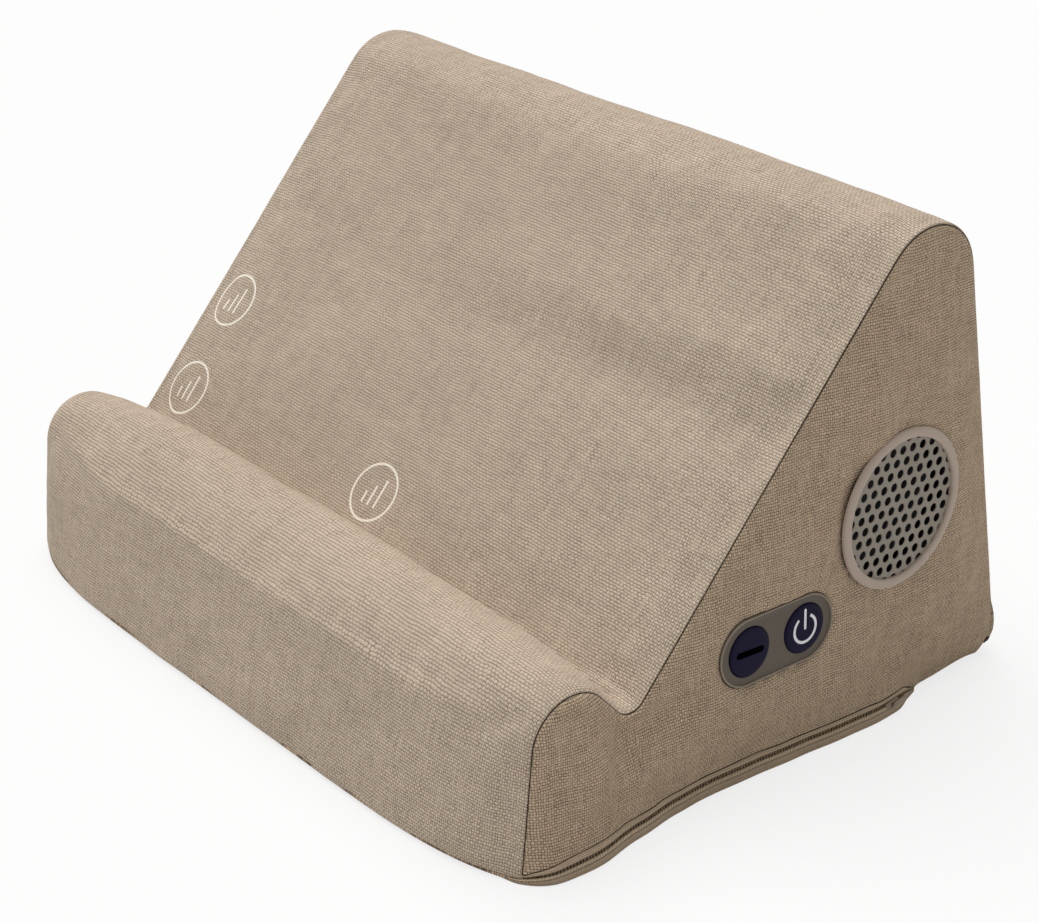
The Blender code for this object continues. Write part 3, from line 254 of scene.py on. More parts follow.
class Graph:
    """Node tree of one material, or of the world."""

    def __init__(self, name, library=None):
        self.owner = (bpy.data.materials if library is None else library).new(name)
        self.owner.use_nodes = True
        self.tree = self.owner.node_tree
        self.tree.nodes.clear()

    def node(self, kind, settings=None, inputs=None, output=0):
        """Add a node with its settings, then the values or links of its sockets."""
        made = self.tree.nodes.new(kind)
        for key, value in (settings or {}).items():
            setattr(made, key, value)
        for key, value in (inputs or {}).items():
            if isinstance(value, Signal):
                self.tree.links.new(value.socket, made.inputs[key])
            else:
                made.inputs[key].default_value = value
        return Signal(self, made.outputs[output])

    def place(self):
        return self.node("ShaderNodeTexCoord", output="Object")

    def map(self, name):
        return self.node("ShaderNodeUVMap", {"uv_map": name})

    def axis(self, vector, axis):
        return self.node("ShaderNodeSeparateXYZ", None, {0: vector}, output=axis)

    def vector(self, x, y, z=0.0):
        return self.node("ShaderNodeCombineXYZ", None, {0: x, 1: y, 2: z})

    def noise(self, vector, scale, detail=2.0, roughness=0.5, output=0):
        return self.node(
            "ShaderNodeTexNoise", None,
            {"Vector": vector, "Scale": scale, "Detail": detail, "Roughness": roughness}, output,
        )

    def step(self, value, low, high):
        """Smooth rise from 0 at low to 1 at high."""
        return self.node(
            "ShaderNodeMapRange", {"interpolation_type": "SMOOTHSTEP"},
            {"Value": value, "From Min": low, "From Max": high, "To Min": 0.0, "To Max": 1.0},
        )

    def ridges(self, value, pitch):
        """Row of round ridges, one to each pitch."""
        return abs((value * (pi / pitch)).sin())

    def tint(self, colour):
        return colour if isinstance(colour, Signal) else (*colour, 1.0)

    def mix(self, factor, first, second):
        return self.node(
            "ShaderNodeMix", {"data_type": "RGBA"}, {0: factor, 6: self.tint(first), 7: self.tint(second)}, output=2
        )

    def shade(self, colour, amount):
        """Colour times a number that changes over the surface."""
        return self.node(
            "ShaderNodeMix", {"data_type": "RGBA", "blend_type": "MULTIPLY"},
            {0: 1.0, 6: self.tint(colour), 7: self.vector(amount, amount, amount)}, output=2,
        )

    def bump(self, height, distance):
        return self.node("ShaderNodeBump", None, {"Height": height, "Distance": distance, "Strength": 1.0})

    def surface(self, colour, roughness, normal=None, metallic=0.0, specular=0.5):
        settings = {
            "Base Color": self.tint(colour), "Roughness": roughness, "Metallic": metallic,
            "Specular IOR Level": specular,
        }
        if normal is not None:
            settings["Normal"] = normal
        self.close("ShaderNodeOutputMaterial", self.node("ShaderNodeBsdfPrincipled", None, settings))
        return self.owner

    def close(self, kind, shader):
        """Link a shader to an output node."""
        output = self.tree.nodes.new(kind)
        self.tree.links.new(shader.socket, output.inputs["Surface"])

    def seen(self):
        """1 on rays from the eye, off gloss and through glass."""
        eye, gloss, glass = (
            self.node("ShaderNodeLightPath", output=f"Is {kind} Ray") for kind in ("Camera", "Glossy", "Transmission")
        )
        return eye.larger(gloss).larger(glass)


# Finishes

# How the threads wander: scale and detail of the noise, and its reach
THREAD_WANDER = [(110.0, 3.0, 1.5 * MM), (620.0, 2.0, 0.5 * MM)]
WRAP_LINE = 0.28 * MM
SIDE_LINE = 0.62 * MM
# Painted shade along the seams and along the top of the zip
SEAM_SHADE = (0.035, 0.021, 0.012)
MARK_CENTRES = [(-132 * MM, 48.8 * MM), (-129 * MM, 8.8 * MM), (-4 * MM, 9.5 * MM)]
MARK_BARS = [(-3.6 * MM, 4.6 * MM), (0.0, 8.0 * MM), (3.6 * MM, 11.4 * MM)]
BAR_FOOT = -5.2 * MM
MARK_EDGE = 0.12 * MM
MARK_PLANE = 70 * MM
# Painted shade: near-black for the ring's barrel under the side panel, seen through the grille's holes
SHADE_BEHIND_PLATE = (0.004, 0.004, 0.004)
# The coil's brown darkened as painted shade of its recess, darkest as painted shade between its turns
COIL_GAP_SHADE = (0.045, 0.028, 0.016)
SHADED_COIL_THREAD = (0.30, 0.215, 0.135)
# Painted shade in the two grooves of the zip's profile
FOLD_GROOVE_SHADE = (0.08, 0.052, 0.033)
METAL_STREAKS = (300.0, 300.0, 4000.0)


def weave(graph, pitch_x, pitch_y):
    """Plain weave on the thread map: thread height, which thread is on top, and thread by thread tone."""
    plain = graph.map("thread")
    shift = plain
    for scale, detail, reach in THREAD_WANDER:
        drift = graph.noise(plain, scale, detail, 0.6, output="Color")
        shift = graph.node(
            "ShaderNodeVectorMath", {"operation": "MULTIPLY_ADD"}, {0: drift, 1: (reach, reach, 0.0), 2: shift}
        )
    u = graph.axis(shift, "X") / pitch_x
    v = graph.axis(shift, "Y") / pitch_y
    across = (u * pi).sin()
    along = (v * pi).sin()
    over = (across * along) > 0.0
    round_u = abs(across)
    round_v = abs(along)
    level = round_v ** 0.55 * (round_u * 0.55 + 0.45)
    upright = round_u ** 0.7 * (round_v * 0.6 + 0.2)
    height = over * level + (1 - over) * upright
    level_shade = graph.noise(graph.vector(u * 0.09, v.floor() * 1.7), 1.0, 3.0, 0.6)
    upright_shade = graph.noise(graph.vector(u.floor() * 1.7, v * 0.09, 7.0), 1.0, 3.0, 0.6)
    streak = over * level_shade + (1 - over) * upright_shade
    return height, over, streak


def cloth_finish(name, thread, gap, pitch, depth, lean, print_settings=None, zipped=False):
    """Woven cloth with painted shade between its threads, along its seams and along the top of the zip, with the
    printed marks where it carries them.
    """
    graph = Graph(name)
    height, over, streak = weave(graph, *pitch)
    place = graph.place()
    fuzz = graph.noise(place, 2600.0, 3.0, 0.65)
    # Low in the weave the colour goes to the gap colour, partly painted shade between the threads
    thick = graph.step(height + (streak - 0.5) * 0.7 + (fuzz - 0.5) * 0.6, 0.08, 0.72)
    colour = graph.mix(thick, gap, thread)
    cloudy = graph.noise(place, 26.0, 3.0, 0.55)
    patchy = graph.noise(place, 170.0, 2.0, 0.5)
    tone = 0.87 + over * lean + (streak - 0.5) * 0.34 + (cloudy - 0.5) * 0.16 + (patchy - 0.5) * 0.14
    colour = graph.shade(colour, tone)
    seam = graph.map("seam")
    line = SIDE_LINE if print_settings is None else WRAP_LINE
    # Painted shade in SEAM_SHADE near the seams and along the top of the zip
    open_cloth = graph.step(graph.axis(seam, "X") + (fuzz - 0.5) * (0.2 * MM), line / 4, line)
    if zipped:
        groove = abs(graph.axis(seam, "Y"))
        open_cloth = open_cloth * graph.step(groove + (fuzz - 0.5) * (0.3 * MM), 0.1 * MM, 0.6 * MM)
    if print_settings is not None:
        ink = printed_marks(graph, place, print_settings)
        # The ink is a little darker low in the weave, painted shade between the threads
        inked = graph.shade(print_settings.colour[:], 0.94 + height * 0.12)
        colour = graph.mix(ink, colour, inked)
    colour = graph.mix(open_cloth, SEAM_SHADE, colour)
    bump = graph.bump(height * 0.85 + streak * 0.3 + fuzz * 0.12, depth)
    return graph.surface(colour, 0.92, bump, specular=0.2)


def printed_marks(graph, place, settings):
    """Mask of the rings with three sound level bars on the sloping face."""
    x = graph.axis(place, "X")
    y = graph.axis(place, "Y")
    z = graph.axis(place, "Z")
    up = y * cos(REST_SLOPE) + z * sin(REST_SLOPE)
    above = z * cos(REST_SLOPE) - y * sin(REST_SLOPE)
    half = settings.line / 2
    mask = None
    for centre_x, centre_up in MARK_CENTRES:
        dx = x - centre_x
        dy = up - centre_up
        ring = abs((dx * dx + dy * dy).root() - settings.radius)
        drawn = 1 - graph.step(ring, half - MARK_EDGE, half + MARK_EDGE)
        for offset, length in MARK_BARS:
            side = 1 - graph.step(abs(dx - offset), half - MARK_EDGE, half + MARK_EDGE)
            reach = length / 2
            end = 1 - graph.step(abs(dy - BAR_FOOT - reach), reach - MARK_EDGE, reach + MARK_EDGE)
            drawn = drawn.larger(side * end)
        mask = drawn if mask is None else mask.larger(drawn)
    return mask * (above > MARK_PLANE)


def raised(graph, place, seat):
    """1 on what stands out of a seat in the side panel, and 0 on what lies under it."""
    local = graph.node(
        "ShaderNodeMapping", {"vector_type": "TEXTURE"},
        {"Vector": place, "Location": seat.translation, "Rotation": seat.to_euler()},
    )
    return graph.step(graph.axis(local, "Z"), -0.6 * MM, -0.2 * MM)


def moulded_finish(name, colour, roughness, grain=0.4 * MM, depth=0.03 * MM, specular=0.5, seat=None):
    """Moulded plastic or rubber with a fine grain and faint tone changes, painted black as shade under its seat if it
    has one.
    """
    graph = Graph(name)
    place = graph.place()
    fine = graph.noise(place, 1 / grain, 2.0, 0.6)
    broad = graph.noise(place, 60.0, 3.0, 0.5)
    shaded = graph.shade(colour, 0.92 + broad * 0.12 + fine * 0.04)
    # Painted shade: the part under its seat is coloured near-black
    if seat is not None:
        shaded = graph.mix(raised(graph, place, seat), SHADE_BEHIND_PLATE, shaded)
    rough = roughness - 0.06 + broad * 0.08 + fine * 0.04
    return graph.surface(shaded, rough, graph.bump(fine, depth), specular=specular)


def metal_finish(name, colour, roughness):
    """Drawn or painted metal with fine streaks."""
    graph = Graph(name)
    place = graph.place()
    stretched = graph.node("ShaderNodeVectorMath", {"operation": "MULTIPLY"}, {0: place, 1: METAL_STREAKS})
    streak = graph.noise(stretched, 1.0, 2.0, 0.6)
    broad = graph.noise(place, 90.0, 2.0, 0.5)
    shaded = graph.shade(colour, 0.88 + streak * 0.16 + broad * 0.08)
    return graph.surface(shaded, roughness - 0.08 + streak * 0.16, graph.bump(streak, 0.02 * MM), metallic=1.0)


def wound_finish(name, colour, gap, pitch, metallic=0.0):
    """Fine turns one beside another along the loudspeaker's axis, with painted shade in the gaps between them."""
    graph = Graph(name)
    place = graph.place()
    turns = graph.ridges(graph.axis(place, "X"), pitch)
    # The gap colour between the turns is painted shade
    colour = graph.mix(graph.step(turns, 0.1, 0.6), gap, colour)
    broad = graph.noise(place, 200.0, 2.0, 0.5)
    shaded = graph.shade(colour, 0.9 + broad * 0.2)
    return graph.surface(shaded, 0.45, graph.bump(turns, 0.1 * MM), metallic=metallic)


def fibre_finish(name, colour):
    """Pressed paper or felted cloth."""
    graph = Graph(name)
    place = graph.place()
    fibre = graph.noise(place, 900.0, 4.0, 0.7)
    broad = graph.noise(place, 120.0, 2.0, 0.5)
    return graph.surface(graph.shade(colour, 0.75 + fibre * 0.35 + broad * 0.15), 0.9, graph.bump(fibre, 0.1 * MM))


def board_finish(name):
    """Lacquered circuit board with copper tracks under the lacquer."""
    graph = Graph(name)
    place = graph.place()
    y = graph.axis(place, "Y")
    z = graph.axis(place, "Z")
    tracks = graph.step(graph.ridges(y, 1.8 * MM), 0.85, 0.95)
    broken = graph.noise(graph.vector(y * 0.2, z), 420.0, 1.0, 0.5) > 0.52
    colour = graph.mix(tracks * broken, (0.01, 0.075, 0.035), (0.03, 0.14, 0.06))
    return graph.surface(colour, 0.35, graph.bump(tracks * broken, 0.03 * MM))


def perforated_finish(name, colour):
    """Painted plate of the grille, its paint a little darker in places."""
    graph = Graph(name)
    place = graph.place()
    fine = graph.noise(place, 1500.0, 2.0, 0.6)
    broad = graph.noise(place, 75.0, 3.0, 0.55)
    shaded = graph.shade(colour, 0.86 + broad * 0.2 + fine * 0.08)
    return graph.surface(shaded, 0.55 + fine * 0.12, graph.bump(fine, 0.02 * MM), specular=0.3)


# Zip profile: distance out of the panel and height, from the top edge round to the inside
ZIP_PROFILE = [
    (-1.6, 8.9), (-0.25, 8.75), (0.2, 8.5), (0.38, 8.1), (0.4, 7.4), (0.2, 6.85), (-0.5, 6.65),
    (-0.6, 6.35), (-0.55, 5.6), (-0.45, 5.3), (0.1, 5.1), (0.5, 4.85), (0.72, 4.4), (0.6, 3.95),
    (0.25, 3.7), (0.45, 3.45), (0.6, 3.0), (0.66, 2.3), (0.55, 1.7), (0.3, 1.45), (0.5, 1.15),
    (0.55, 0.65), (0.3, 0.2), (-0.6, 0.05), (-3.2, 0.05), (-3.2, 8.0),
]
# Points of that profile where the upper strip, the coil's recess, the corded fold and the lower strip end
ZIP_STRIP, ZIP_RECESS, ZIP_ROLL, ZIP_LOWER = 5, 10, 14, 19


def running_lengths(points):
    """Length of a chain of points up to each of them."""
    lengths = [0.0]
    for first, last in zip(points, points[1:]):
        lengths.append(lengths[-1] + (last - first).length)
    return lengths


def profile_lengths():
    return running_lengths([Vector(spot) * MM for spot in ZIP_PROFILE])


def zip_finish(name, tape):
    """Tape, coil channel, corded fold and lower strip, set out across the zip by its own map, with painted shade
    between the tape's ribs, in the coil channel and in the grooves, and a painted highlight on the corded fold.
    """
    graph = Graph(name)
    plain = graph.map("thread")
    wander = graph.noise(plain, 60.0, 2.0, 0.5)
    across = graph.axis(plain, "X") + (wander - 0.5) * (0.4 * MM)
    along = graph.axis(plain, "Y")
    lengths = profile_lengths()
    edge = 0.15 * MM

    def between(first, last):
        low, high = lengths[first], lengths[last]
        return graph.step(across, low - edge, low + edge) * (1 - graph.step(across, high - edge, high + edge))

    recess = between(ZIP_STRIP, ZIP_RECESS)
    roll = between(ZIP_RECESS, ZIP_ROLL)
    groove = between(ZIP_ROLL, ZIP_ROLL + 1).larger(between(ZIP_LOWER - 1, ZIP_LOWER))
    wobble = (graph.noise(plain, 900.0, 2.0, 0.6) - 0.5) * (1.6 * MM)
    rib = graph.ridges(across, 0.8 * MM)
    thread = graph.ridges(along + wobble * 0.5, 0.8 * MM)
    cord = graph.ridges(along + across * 0.8 + wobble * 0.6, 1.2 * MM)
    coil = graph.ridges(along + across * 0.4 + wobble, 1.3 * MM)
    fuzz = graph.noise(plain, 2400.0, 3.0, 0.6)
    broad = graph.noise(plain, 90.0, 3.0, 0.5)
    woven = rib * 0.5 + thread * 0.5
    height = woven * (1 - roll) * (1 - recess) + cord * roll + coil * recess
    # Painted shade between the tape's ribs and threads: the colour darkens where they are low
    colour = graph.shade(tape, 0.42 + rib * 0.46 + thread * 0.2 + broad * 0.3 + (fuzz - 0.5) * 0.5)
    # Painted highlight: the corded fold is the tape half again lighter, with painted shade between its cords
    rolled = graph.shade([1.5 * channel for channel in tape], 0.5 + cord * 0.45 + (fuzz - 0.5) * 0.35)
    # Painted shade in the coil channel and between the coil's turns
    coiled = graph.mix(graph.step(coil + (fuzz - 0.5) * 0.8, 0.25, 1.0), COIL_GAP_SHADE, SHADED_COIL_THREAD)
    colour = graph.mix(roll, colour, rolled)
    colour = graph.mix(recess, colour, coiled)
    # Painted shade in the zip's two grooves
    colour = graph.mix(groove * 0.7, colour, FOLD_GROOVE_SHADE)
    return graph.surface(colour, 0.85, graph.bump(height + fuzz * 0.15, 0.22 * MM), specular=0.25)


# Shape of the cushion


def smooth(value):
    value = min(max(value, 0.0), 1.0)
    return value * value * (3 - 2 * value)


def section_corners():
    """Corners of the section as (y, z, radius, crown), from the front foot over the top to the back foot."""
    valley_y = FRONT + VALLEY_DEPTH
    rise = tan(REST_SLOPE)
    fall = tan(LIP_SLOPE)
    front_run = tan(FRONT_LEAN)
    back_run = tan(BACK_LEAN)
    lip_z = (VALLEY_HEIGHT + fall * (valley_y - FRONT)) / (1 + fall * front_run)
    lip_y = FRONT + front_run * lip_z
    ridge_z = (VALLEY_HEIGHT + rise * (BACK - valley_y)) / (1 + rise * back_run)
    ridge_y = BACK - back_run * ridge_z
    return [
        (FRONT, 0.0, 0.0, CROWN_FRONT_FOOT),
        (lip_y, lip_z, LIP_RADIUS, CROWN_LIP),
        (valley_y, VALLEY_HEIGHT, VALLEY_RADIUS, CROWN_VALLEY),
        (ridge_y, ridge_z, RIDGE_RADIUS, CROWN_RIDGE),
        (BACK, 0.0, HEEL_RADIUS, CROWN_HEEL),
        (FRONT, 0.0, 0.0, CROWN_HEEL),
    ]


def fillet(before, corner, after, radius):
    """Points of the arc that rounds one corner."""
    into = (Vector(before) - Vector(corner)).normalized()
    out = (Vector(after) - Vector(corner)).normalized()
    half = into.angle(out) / 2
    centre = Vector(corner) + (into + out).normalized() * (radius / sin(half))
    start = Vector(corner) + into * (radius / tan(half)) - centre
    sweep = pi - 2 * half
    steps = max(3, round(sweep / ARC_STEP))
    turn = 1 if start.cross(Vector(corner) - centre) > 0 else -1
    return [centre + Matrix.Rotation(turn * sweep * k / steps, 2) @ start for k in range(steps + 1)]


def heel_end(arc):
    """Point where the heel's arc comes down to the sole."""
    for first, last in zip(arc, arc[1:]):
        if last.y <= SOLE < first.y:
            return first.lerp(last, (first.y - SOLE) / (first.y - last.y))
    return Vector((arc[-1].x, SOLE))


def make_section():
    """Stations along the wrap panel: place, outward normal, crown, share and length along it."""
    corners = section_corners()
    points = [Vector((FRONT + SOLE * tan(FRONT_LEAN), SOLE))]
    crowns = [CROWN_FRONT_FOOT]
    for index in range(1, len(corners) - 1):
        before, corner, after = corners[index - 1:index + 2]
        arc = fillet(before[:2], corner[:2], after[:2], corner[2])
        if index == len(corners) - 2:
            arc = [point for point in arc if point.y > SOLE] + [heel_end(arc)]
        steps = max(1, round((arc[0] - points[-1]).length / RUN_STEP))
        power = 1.7 if index == 1 else 1.0
        first, start_crown = points[-1], crowns[-1]
        for k in range(1, steps):
            share = (k / steps) ** power
            points.append(first.lerp(arc[0], share))
            crowns.append(start_crown + (corner[3] - start_crown) * share)
        points += arc
        crowns += [corner[3]] * len(arc)
    lengths = running_lengths(points)
    stations = []
    for index, point in enumerate(points):
        ahead = points[min(index + 1, len(points) - 1)]
        behind = points[max(index - 1, 0)]
        along = (ahead - behind).normalized()
        normal = Vector((-along.y, along.x))
        stations.append((point, normal, crowns[index], lengths[index] / lengths[-1], lengths[index]))
    return stations


def seam_distance(y, z):
    """Distance from a point of the side to the seam around the wrap panel."""
    best = 1.0
    for first, last in zip(SECTION, SECTION[1:]):
        a, b = first[0], last[0]
        run = b - a
        share = ((y - a.x) * run.x + (z - a.y) * run.y) / run.length_squared
        share = min(max(share, 0.0), 1.0)
        best = min(best, hypot(y - a.x - run.x * share, z - a.y - run.y * share))
    return best


def zip_reach(y):
    """How far the straight zip line stands outside the right seam plane."""
    share = (y - FRONT - ZIP_START) / (ZIP_STRAIGHT_END - ZIP_START)
    return ZIP_REACH_FRONT + (ZIP_REACH_BACK - ZIP_REACH_FRONT) * share


def tail(y):
    """Rise from 0 at the end of the straight zip to 1 at the end of its tail."""
    return smooth((y - FRONT - ZIP_STRAIGHT_END) / (ZIP_TAIL_END - ZIP_STRAIGHT_END))


def foot_reach(y, side):
    """How far a foot stands out of the seam plane before the cushion settles."""
    if side < 0:
        return LEFT_REACH
    return zip_reach(y) * (1 - tail(y)) + TAIL_REACH * tail(y)


def worn_reach(y):
    """How far the right foot stands out once the cushion has settled, with a waist behind the front corner."""
    place = y / MM
    for (first_y, first), (last_y, last) in zip(FOOT_CURVE, FOOT_CURVE[1:]):
        if place <= last_y:
            return (first + (last - first) * smooth((place - first_y) / (last_y - first_y))) * MM
    return FOOT_CURVE[-1][1] * MM


def settled_bulge(y, z, side):
    """Side panel's stand-out with the right foot drawn in along its waist."""
    out = bulge(y, z, side)
    if side > 0:
        inner = 1 - exp(-seam_distance(y, z) / FLARE_CORNER)
        out -= (foot_reach(y, side) - worn_reach(y)) * exp(-(z / WAIST_HEIGHT) ** 2) * inner
    return out


def bulge(y, z, side):
    """How far the side panel's outer face stands outside the seam plane."""
    distance = seam_distance(y, z)
    pillow = SIDE_BULGE * (1 - exp(-distance / SIDE_ROUNDING))
    foot_pillow = SIDE_BULGE * (1 - exp(-seam_distance(y, SOLE) / SIDE_ROUNDING))
    flare = foot_reach(y, side) - foot_pillow
    return pillow + flare * exp(-z / FLARE_HEIGHT) * (1 - exp(-distance / FLARE_CORNER))


def tuck(z):
    """How far a panel turns in where it meets the sole."""
    low = min(max(TUCK_RADIUS - z, 0.0), TUCK_RADIUS)
    return TUCK_RADIUS - (TUCK_RADIUS ** 2 - low ** 2) ** 0.5


def wrap_point(station, x):
    """Point of the wrap panel at a station, swollen in its middle."""
    point, normal, crown, along = station[:4]
    share = min(abs(x) / HALF_WIDTH, 1.0)
    swell = crown * (1 - share ** CROWN_POWER)
    y = point.x + normal.x * swell
    z = max(point.y + max(normal.y, 0) * swell, SOLE)
    if along < 0.5:
        y += tuck(z)
    return Vector((x, y, z))


def side_point(station, share, side):
    """Point of a side panel, on the line from its foot to the seam."""
    top = wrap_point(station, HALF_WIDTH)
    front = wrap_point(SECTION[0], HALF_WIDTH).y
    back = wrap_point(SECTION[-1], HALF_WIDTH).y
    y_low = front + (back - front) * station[3]
    y = y_low + (top.y - y_low) * share
    z = SOLE + (top.z - SOLE) * share
    out = 0.0
    if share < 1:
        inner = 1 - exp(-seam_distance(y, z) / FLARE_CORNER)
        out = settled_bulge(y, z, side) - tuck(z) * inner
    return Vector((side * (HALF_WIDTH + out), y, max(z, SOLE)))


def sole_point(station, x_share):
    """Point of the base panel between the feet of the four panels around it."""
    t = station[3]
    s = (x_share + 1) / 2
    x = x_share * HALF_WIDTH
    front, back = wrap_point(SECTION[0], x), wrap_point(SECTION[-1], x)
    left, right = side_point(station, 0.0, -1), side_point(station, 0.0, 1)
    corners = [wrap_point(SECTION[0], -HALF_WIDTH), wrap_point(SECTION[0], HALF_WIDTH),
               wrap_point(SECTION[-1], -HALF_WIDTH), wrap_point(SECTION[-1], HALF_WIDTH)]
    blend = (corners[0] * (1 - s) + corners[1] * s) * (1 - t) + (corners[2] * (1 - s) + corners[3] * s) * t
    return front * (1 - t) + back * t + left * (1 - s) + right * s - blend


def width_shares():
    """Shares across the width at which the wrap panel has columns."""
    near = [HALF_WIDTH - d * MM for d in SEAM_COLUMNS]
    middle = near[-1]
    inner = [middle * (1 - 2 * k / MIDDLE_COLUMNS) for k in range(1, MIDDLE_COLUMNS)]
    right = near + inner + [-x for x in reversed(near)]
    return [x / HALF_WIDTH for x in reversed(right)]


def side_shares():
    """Shares of the height at which a side panel has rows, closer together at the foot and the seam."""
    even = [row / SIDE_ROWS for row in range(SIDE_ROWS + 1)]
    return [0.35 * t + 0.65 * (0.5 - 0.5 * cos(pi * t)) for t in even]


def panel_sheet(target, columns, rows, place, chart, panel):
    """Add a grid of columns by rows quads, each vertex moved to its place and charted on the thread map."""
    shape = bmesh.new()
    bmesh.ops.create_grid(shape, x_segments=columns, y_segments=rows, size=1.0)
    charted = shape.loops.layers.uv.new("thread")
    spots = {
        vert: (round((vert.co.x + 1) / 2 * columns), round((vert.co.y + 1) / 2 * rows))
        for vert in shape.verts
    }
    for face in shape.faces:
        face.material_index = panel
        for loop in face.loops:
            loop[charted].uv = chart(*spots[loop.vert])
    for vert, spot in spots.items():
        vert.co = place(*spot)
    add_shape(target, shape)


def mesh_from(name, shape):
    """Mesh of a finished shape, which is freed."""
    mesh = bpy.data.meshes.new(name)
    shape.to_mesh(mesh)
    shape.free()
    return mesh


def add_shape(target, shape):
    """Move one shape into another."""
    mesh = mesh_from("part", shape)
    target.from_mesh(mesh)
    bpy.data.meshes.remove(mesh)


def skin_mesh():
    """Closed skin of the cushion: wrap, two sides and base, one material index each."""
    shape = bmesh.new()
    shape.loops.layers.uv.new("thread")
    across = width_shares()
    up = side_shares()
    count = len(SECTION) - 1
    panel_sheet(
        shape, len(across) - 1, count,
        lambda c, r: wrap_point(SECTION[r], across[c] * HALF_WIDTH),
        lambda c, r: (across[c] * HALF_WIDTH, SECTION[r][4]), WRAP,
    )
    for side, panel in ((1, RIGHT), (-1, LEFT)):
        points = {
            (c, r): side_point(SECTION[c], up[r], side)
            for c in range(count + 1) for r in range(len(up))
        }
        panel_sheet(
            shape, count, len(up) - 1,
            lambda c, r: points[c, r],
            lambda c, r: (points[c, r].y, points[c, r].z), panel,
        )
    panel_sheet(
        shape, len(across) - 1, count,
        lambda c, r: sole_point(SECTION[r], across[c]),
        lambda c, r: (across[c] * HALF_WIDTH, SECTION[r][3] * BASE_DEPTH), BASE,
    )
    bmesh.ops.remove_doubles(shape, verts=shape.verts, dist=WELD)
    bmesh.ops.recalc_face_normals(shape, faces=shape.faces)
    for vert in shape.verts:
        vert.co.x -= heel_tuck(vert.co)
    return shape


def heel_tuck(spot):
    """How far a point near the two back corners of the foot is drawn in."""
    back = smooth((spot.y - BACK + 45 * MM) / (40 * MM))
    wide = smooth((abs(spot.x) - 105 * MM) / (45 * MM))
    inwards = HEEL_TUCK * back * wide * exp(-(spot.z / (10 * MM)) ** 2)
    return inwards if spot.x > 0 else -inwards


def seam_tree(mesh):
    """Points close together along the two seams beside the wrap panel, for distances to them."""
    spots = []
    shape = bmesh.new()
    shape.from_mesh(mesh)
    for edge in shape.edges:
        panels = {face.material_index for face in edge.link_faces}
        if WRAP in panels and (RIGHT in panels or LEFT in panels):
            first, last = (vert.co.copy() for vert in edge.verts)
            steps = max(1, round((last - first).length / (0.4 * MM)))
            spots += [first.lerp(last, k / steps) for k in range(steps + 1)]
    shape.free()
    tree = kdtree.KDTree(len(spots))
    for index, spot in enumerate(spots):
        tree.insert(spot, index)
    tree.balance()
    return tree


def side_frame(y, z):
    """Frame on the right panel: Z points out of it, X points to the back."""
    step = 0.1 * MM
    slope_y = (bulge(y + step, z, 1) - bulge(y - step, z, 1)) / (2 * step)
    slope_z = (bulge(y, z + step, 1) - bulge(y, z - step, 1)) / (2 * step)
    out = Vector((1, -slope_y, -slope_z)).normalized()
    along = Vector((0, 1, 0))
    along = (along - out * along.dot(out)).normalized()
    up = out.cross(along)
    place = Matrix((along, up, out)).transposed().to_4x4()
    place.translation = (HALF_WIDTH + bulge(y, z, 1), y, z)
    return place


def stadium_distance(spot):
    """Distance of a point in the panel's frame from the line between its two round ends."""
    return hypot(max(abs(spot.x) - STADIUM_HALF, 0.0), spot.y)


# Soft shape: stuffing pressure, seams, folds

SEAM_GROOVE = 0.9 * MM
SEAM_REACH = 9 * MM
FRONT_SWELL = 1.6 * MM
HELD_RIGHT = 9.5 * MM
HELD_LOW = 3.5 * MM
FRONT_SWELL_HEIGHT = 46 * MM
STUFFING = {
    "quality": 5, "mass": 0.3, "tension_stiffness": 15, "compression_stiffness": 15, "shear_stiffness": 5,
    "bending_stiffness": 0.5, "use_pressure": True, "uniform_pressure_force": 4, "shrink_min": -0.01,
}


def held_points(mesh, tree):
    """Vertices that stay put while the cushion fills: seams, sole, zip band, ring and panel seats."""
    held = []
    for vert in mesh.vertices:
        spot = vert.co
        low = spot.z < (HELD_RIGHT if spot.x > HALF_WIDTH else HELD_LOW)
        seam = tree.find(spot)[2] < 0.4 * MM
        outer = spot.x > HALF_WIDTH + 1 * MM
        ring = outer and (SPEAKER_INVERSE @ spot).xy.length < 31 * MM
        pad = outer and stadium_distance(CONTROL_INVERSE @ spot) < 14 * MM
        if low or seam or ring or pad:
            held.append(vert.index)
    return held


def fill_with_air(item, tree):
    """Short cloth run with pressure inside, each point limited to a small move."""
    mesh = item.data
    start = [vert.co.copy() for vert in mesh.vertices]
    group = item.vertex_groups.new(name="held")
    group.add(held_points(mesh, tree), 1.0, "REPLACE")
    cloth = item.modifiers.new("stuffing", "CLOTH")
    for name, value in STUFFING.items():
        setattr(cloth.settings, name, value)
    cloth.settings.vertex_group_mass = group.name
    cloth.settings.effector_weights.gravity = 0
    cloth.collision_settings.use_collision = False
    cloth.point_cache.frame_start = 1
    cloth.point_cache.frame_end = STUFFING_FRAMES
    for number in range(1, STUFFING_FRAMES + 1):
        bpy.context.scene.frame_set(number)
    evaluated = item.evaluated_get(bpy.context.evaluated_depsgraph_get())
    moved = evaluated.to_mesh()
    for vert, before, after in zip(mesh.vertices, start, moved.vertices):
        shift = (after.co - before) * smooth((tree.find(before)[2] - 2 * MM) / (12 * MM))
        if shift.length > MOST_SWELL:
            shift *= MOST_SWELL / shift.length
        vert.co = before + shift
    evaluated.to_mesh_clear()
    item.modifiers.remove(cloth)
    item.vertex_groups.clear()
    bpy.context.scene.frame_set(1)


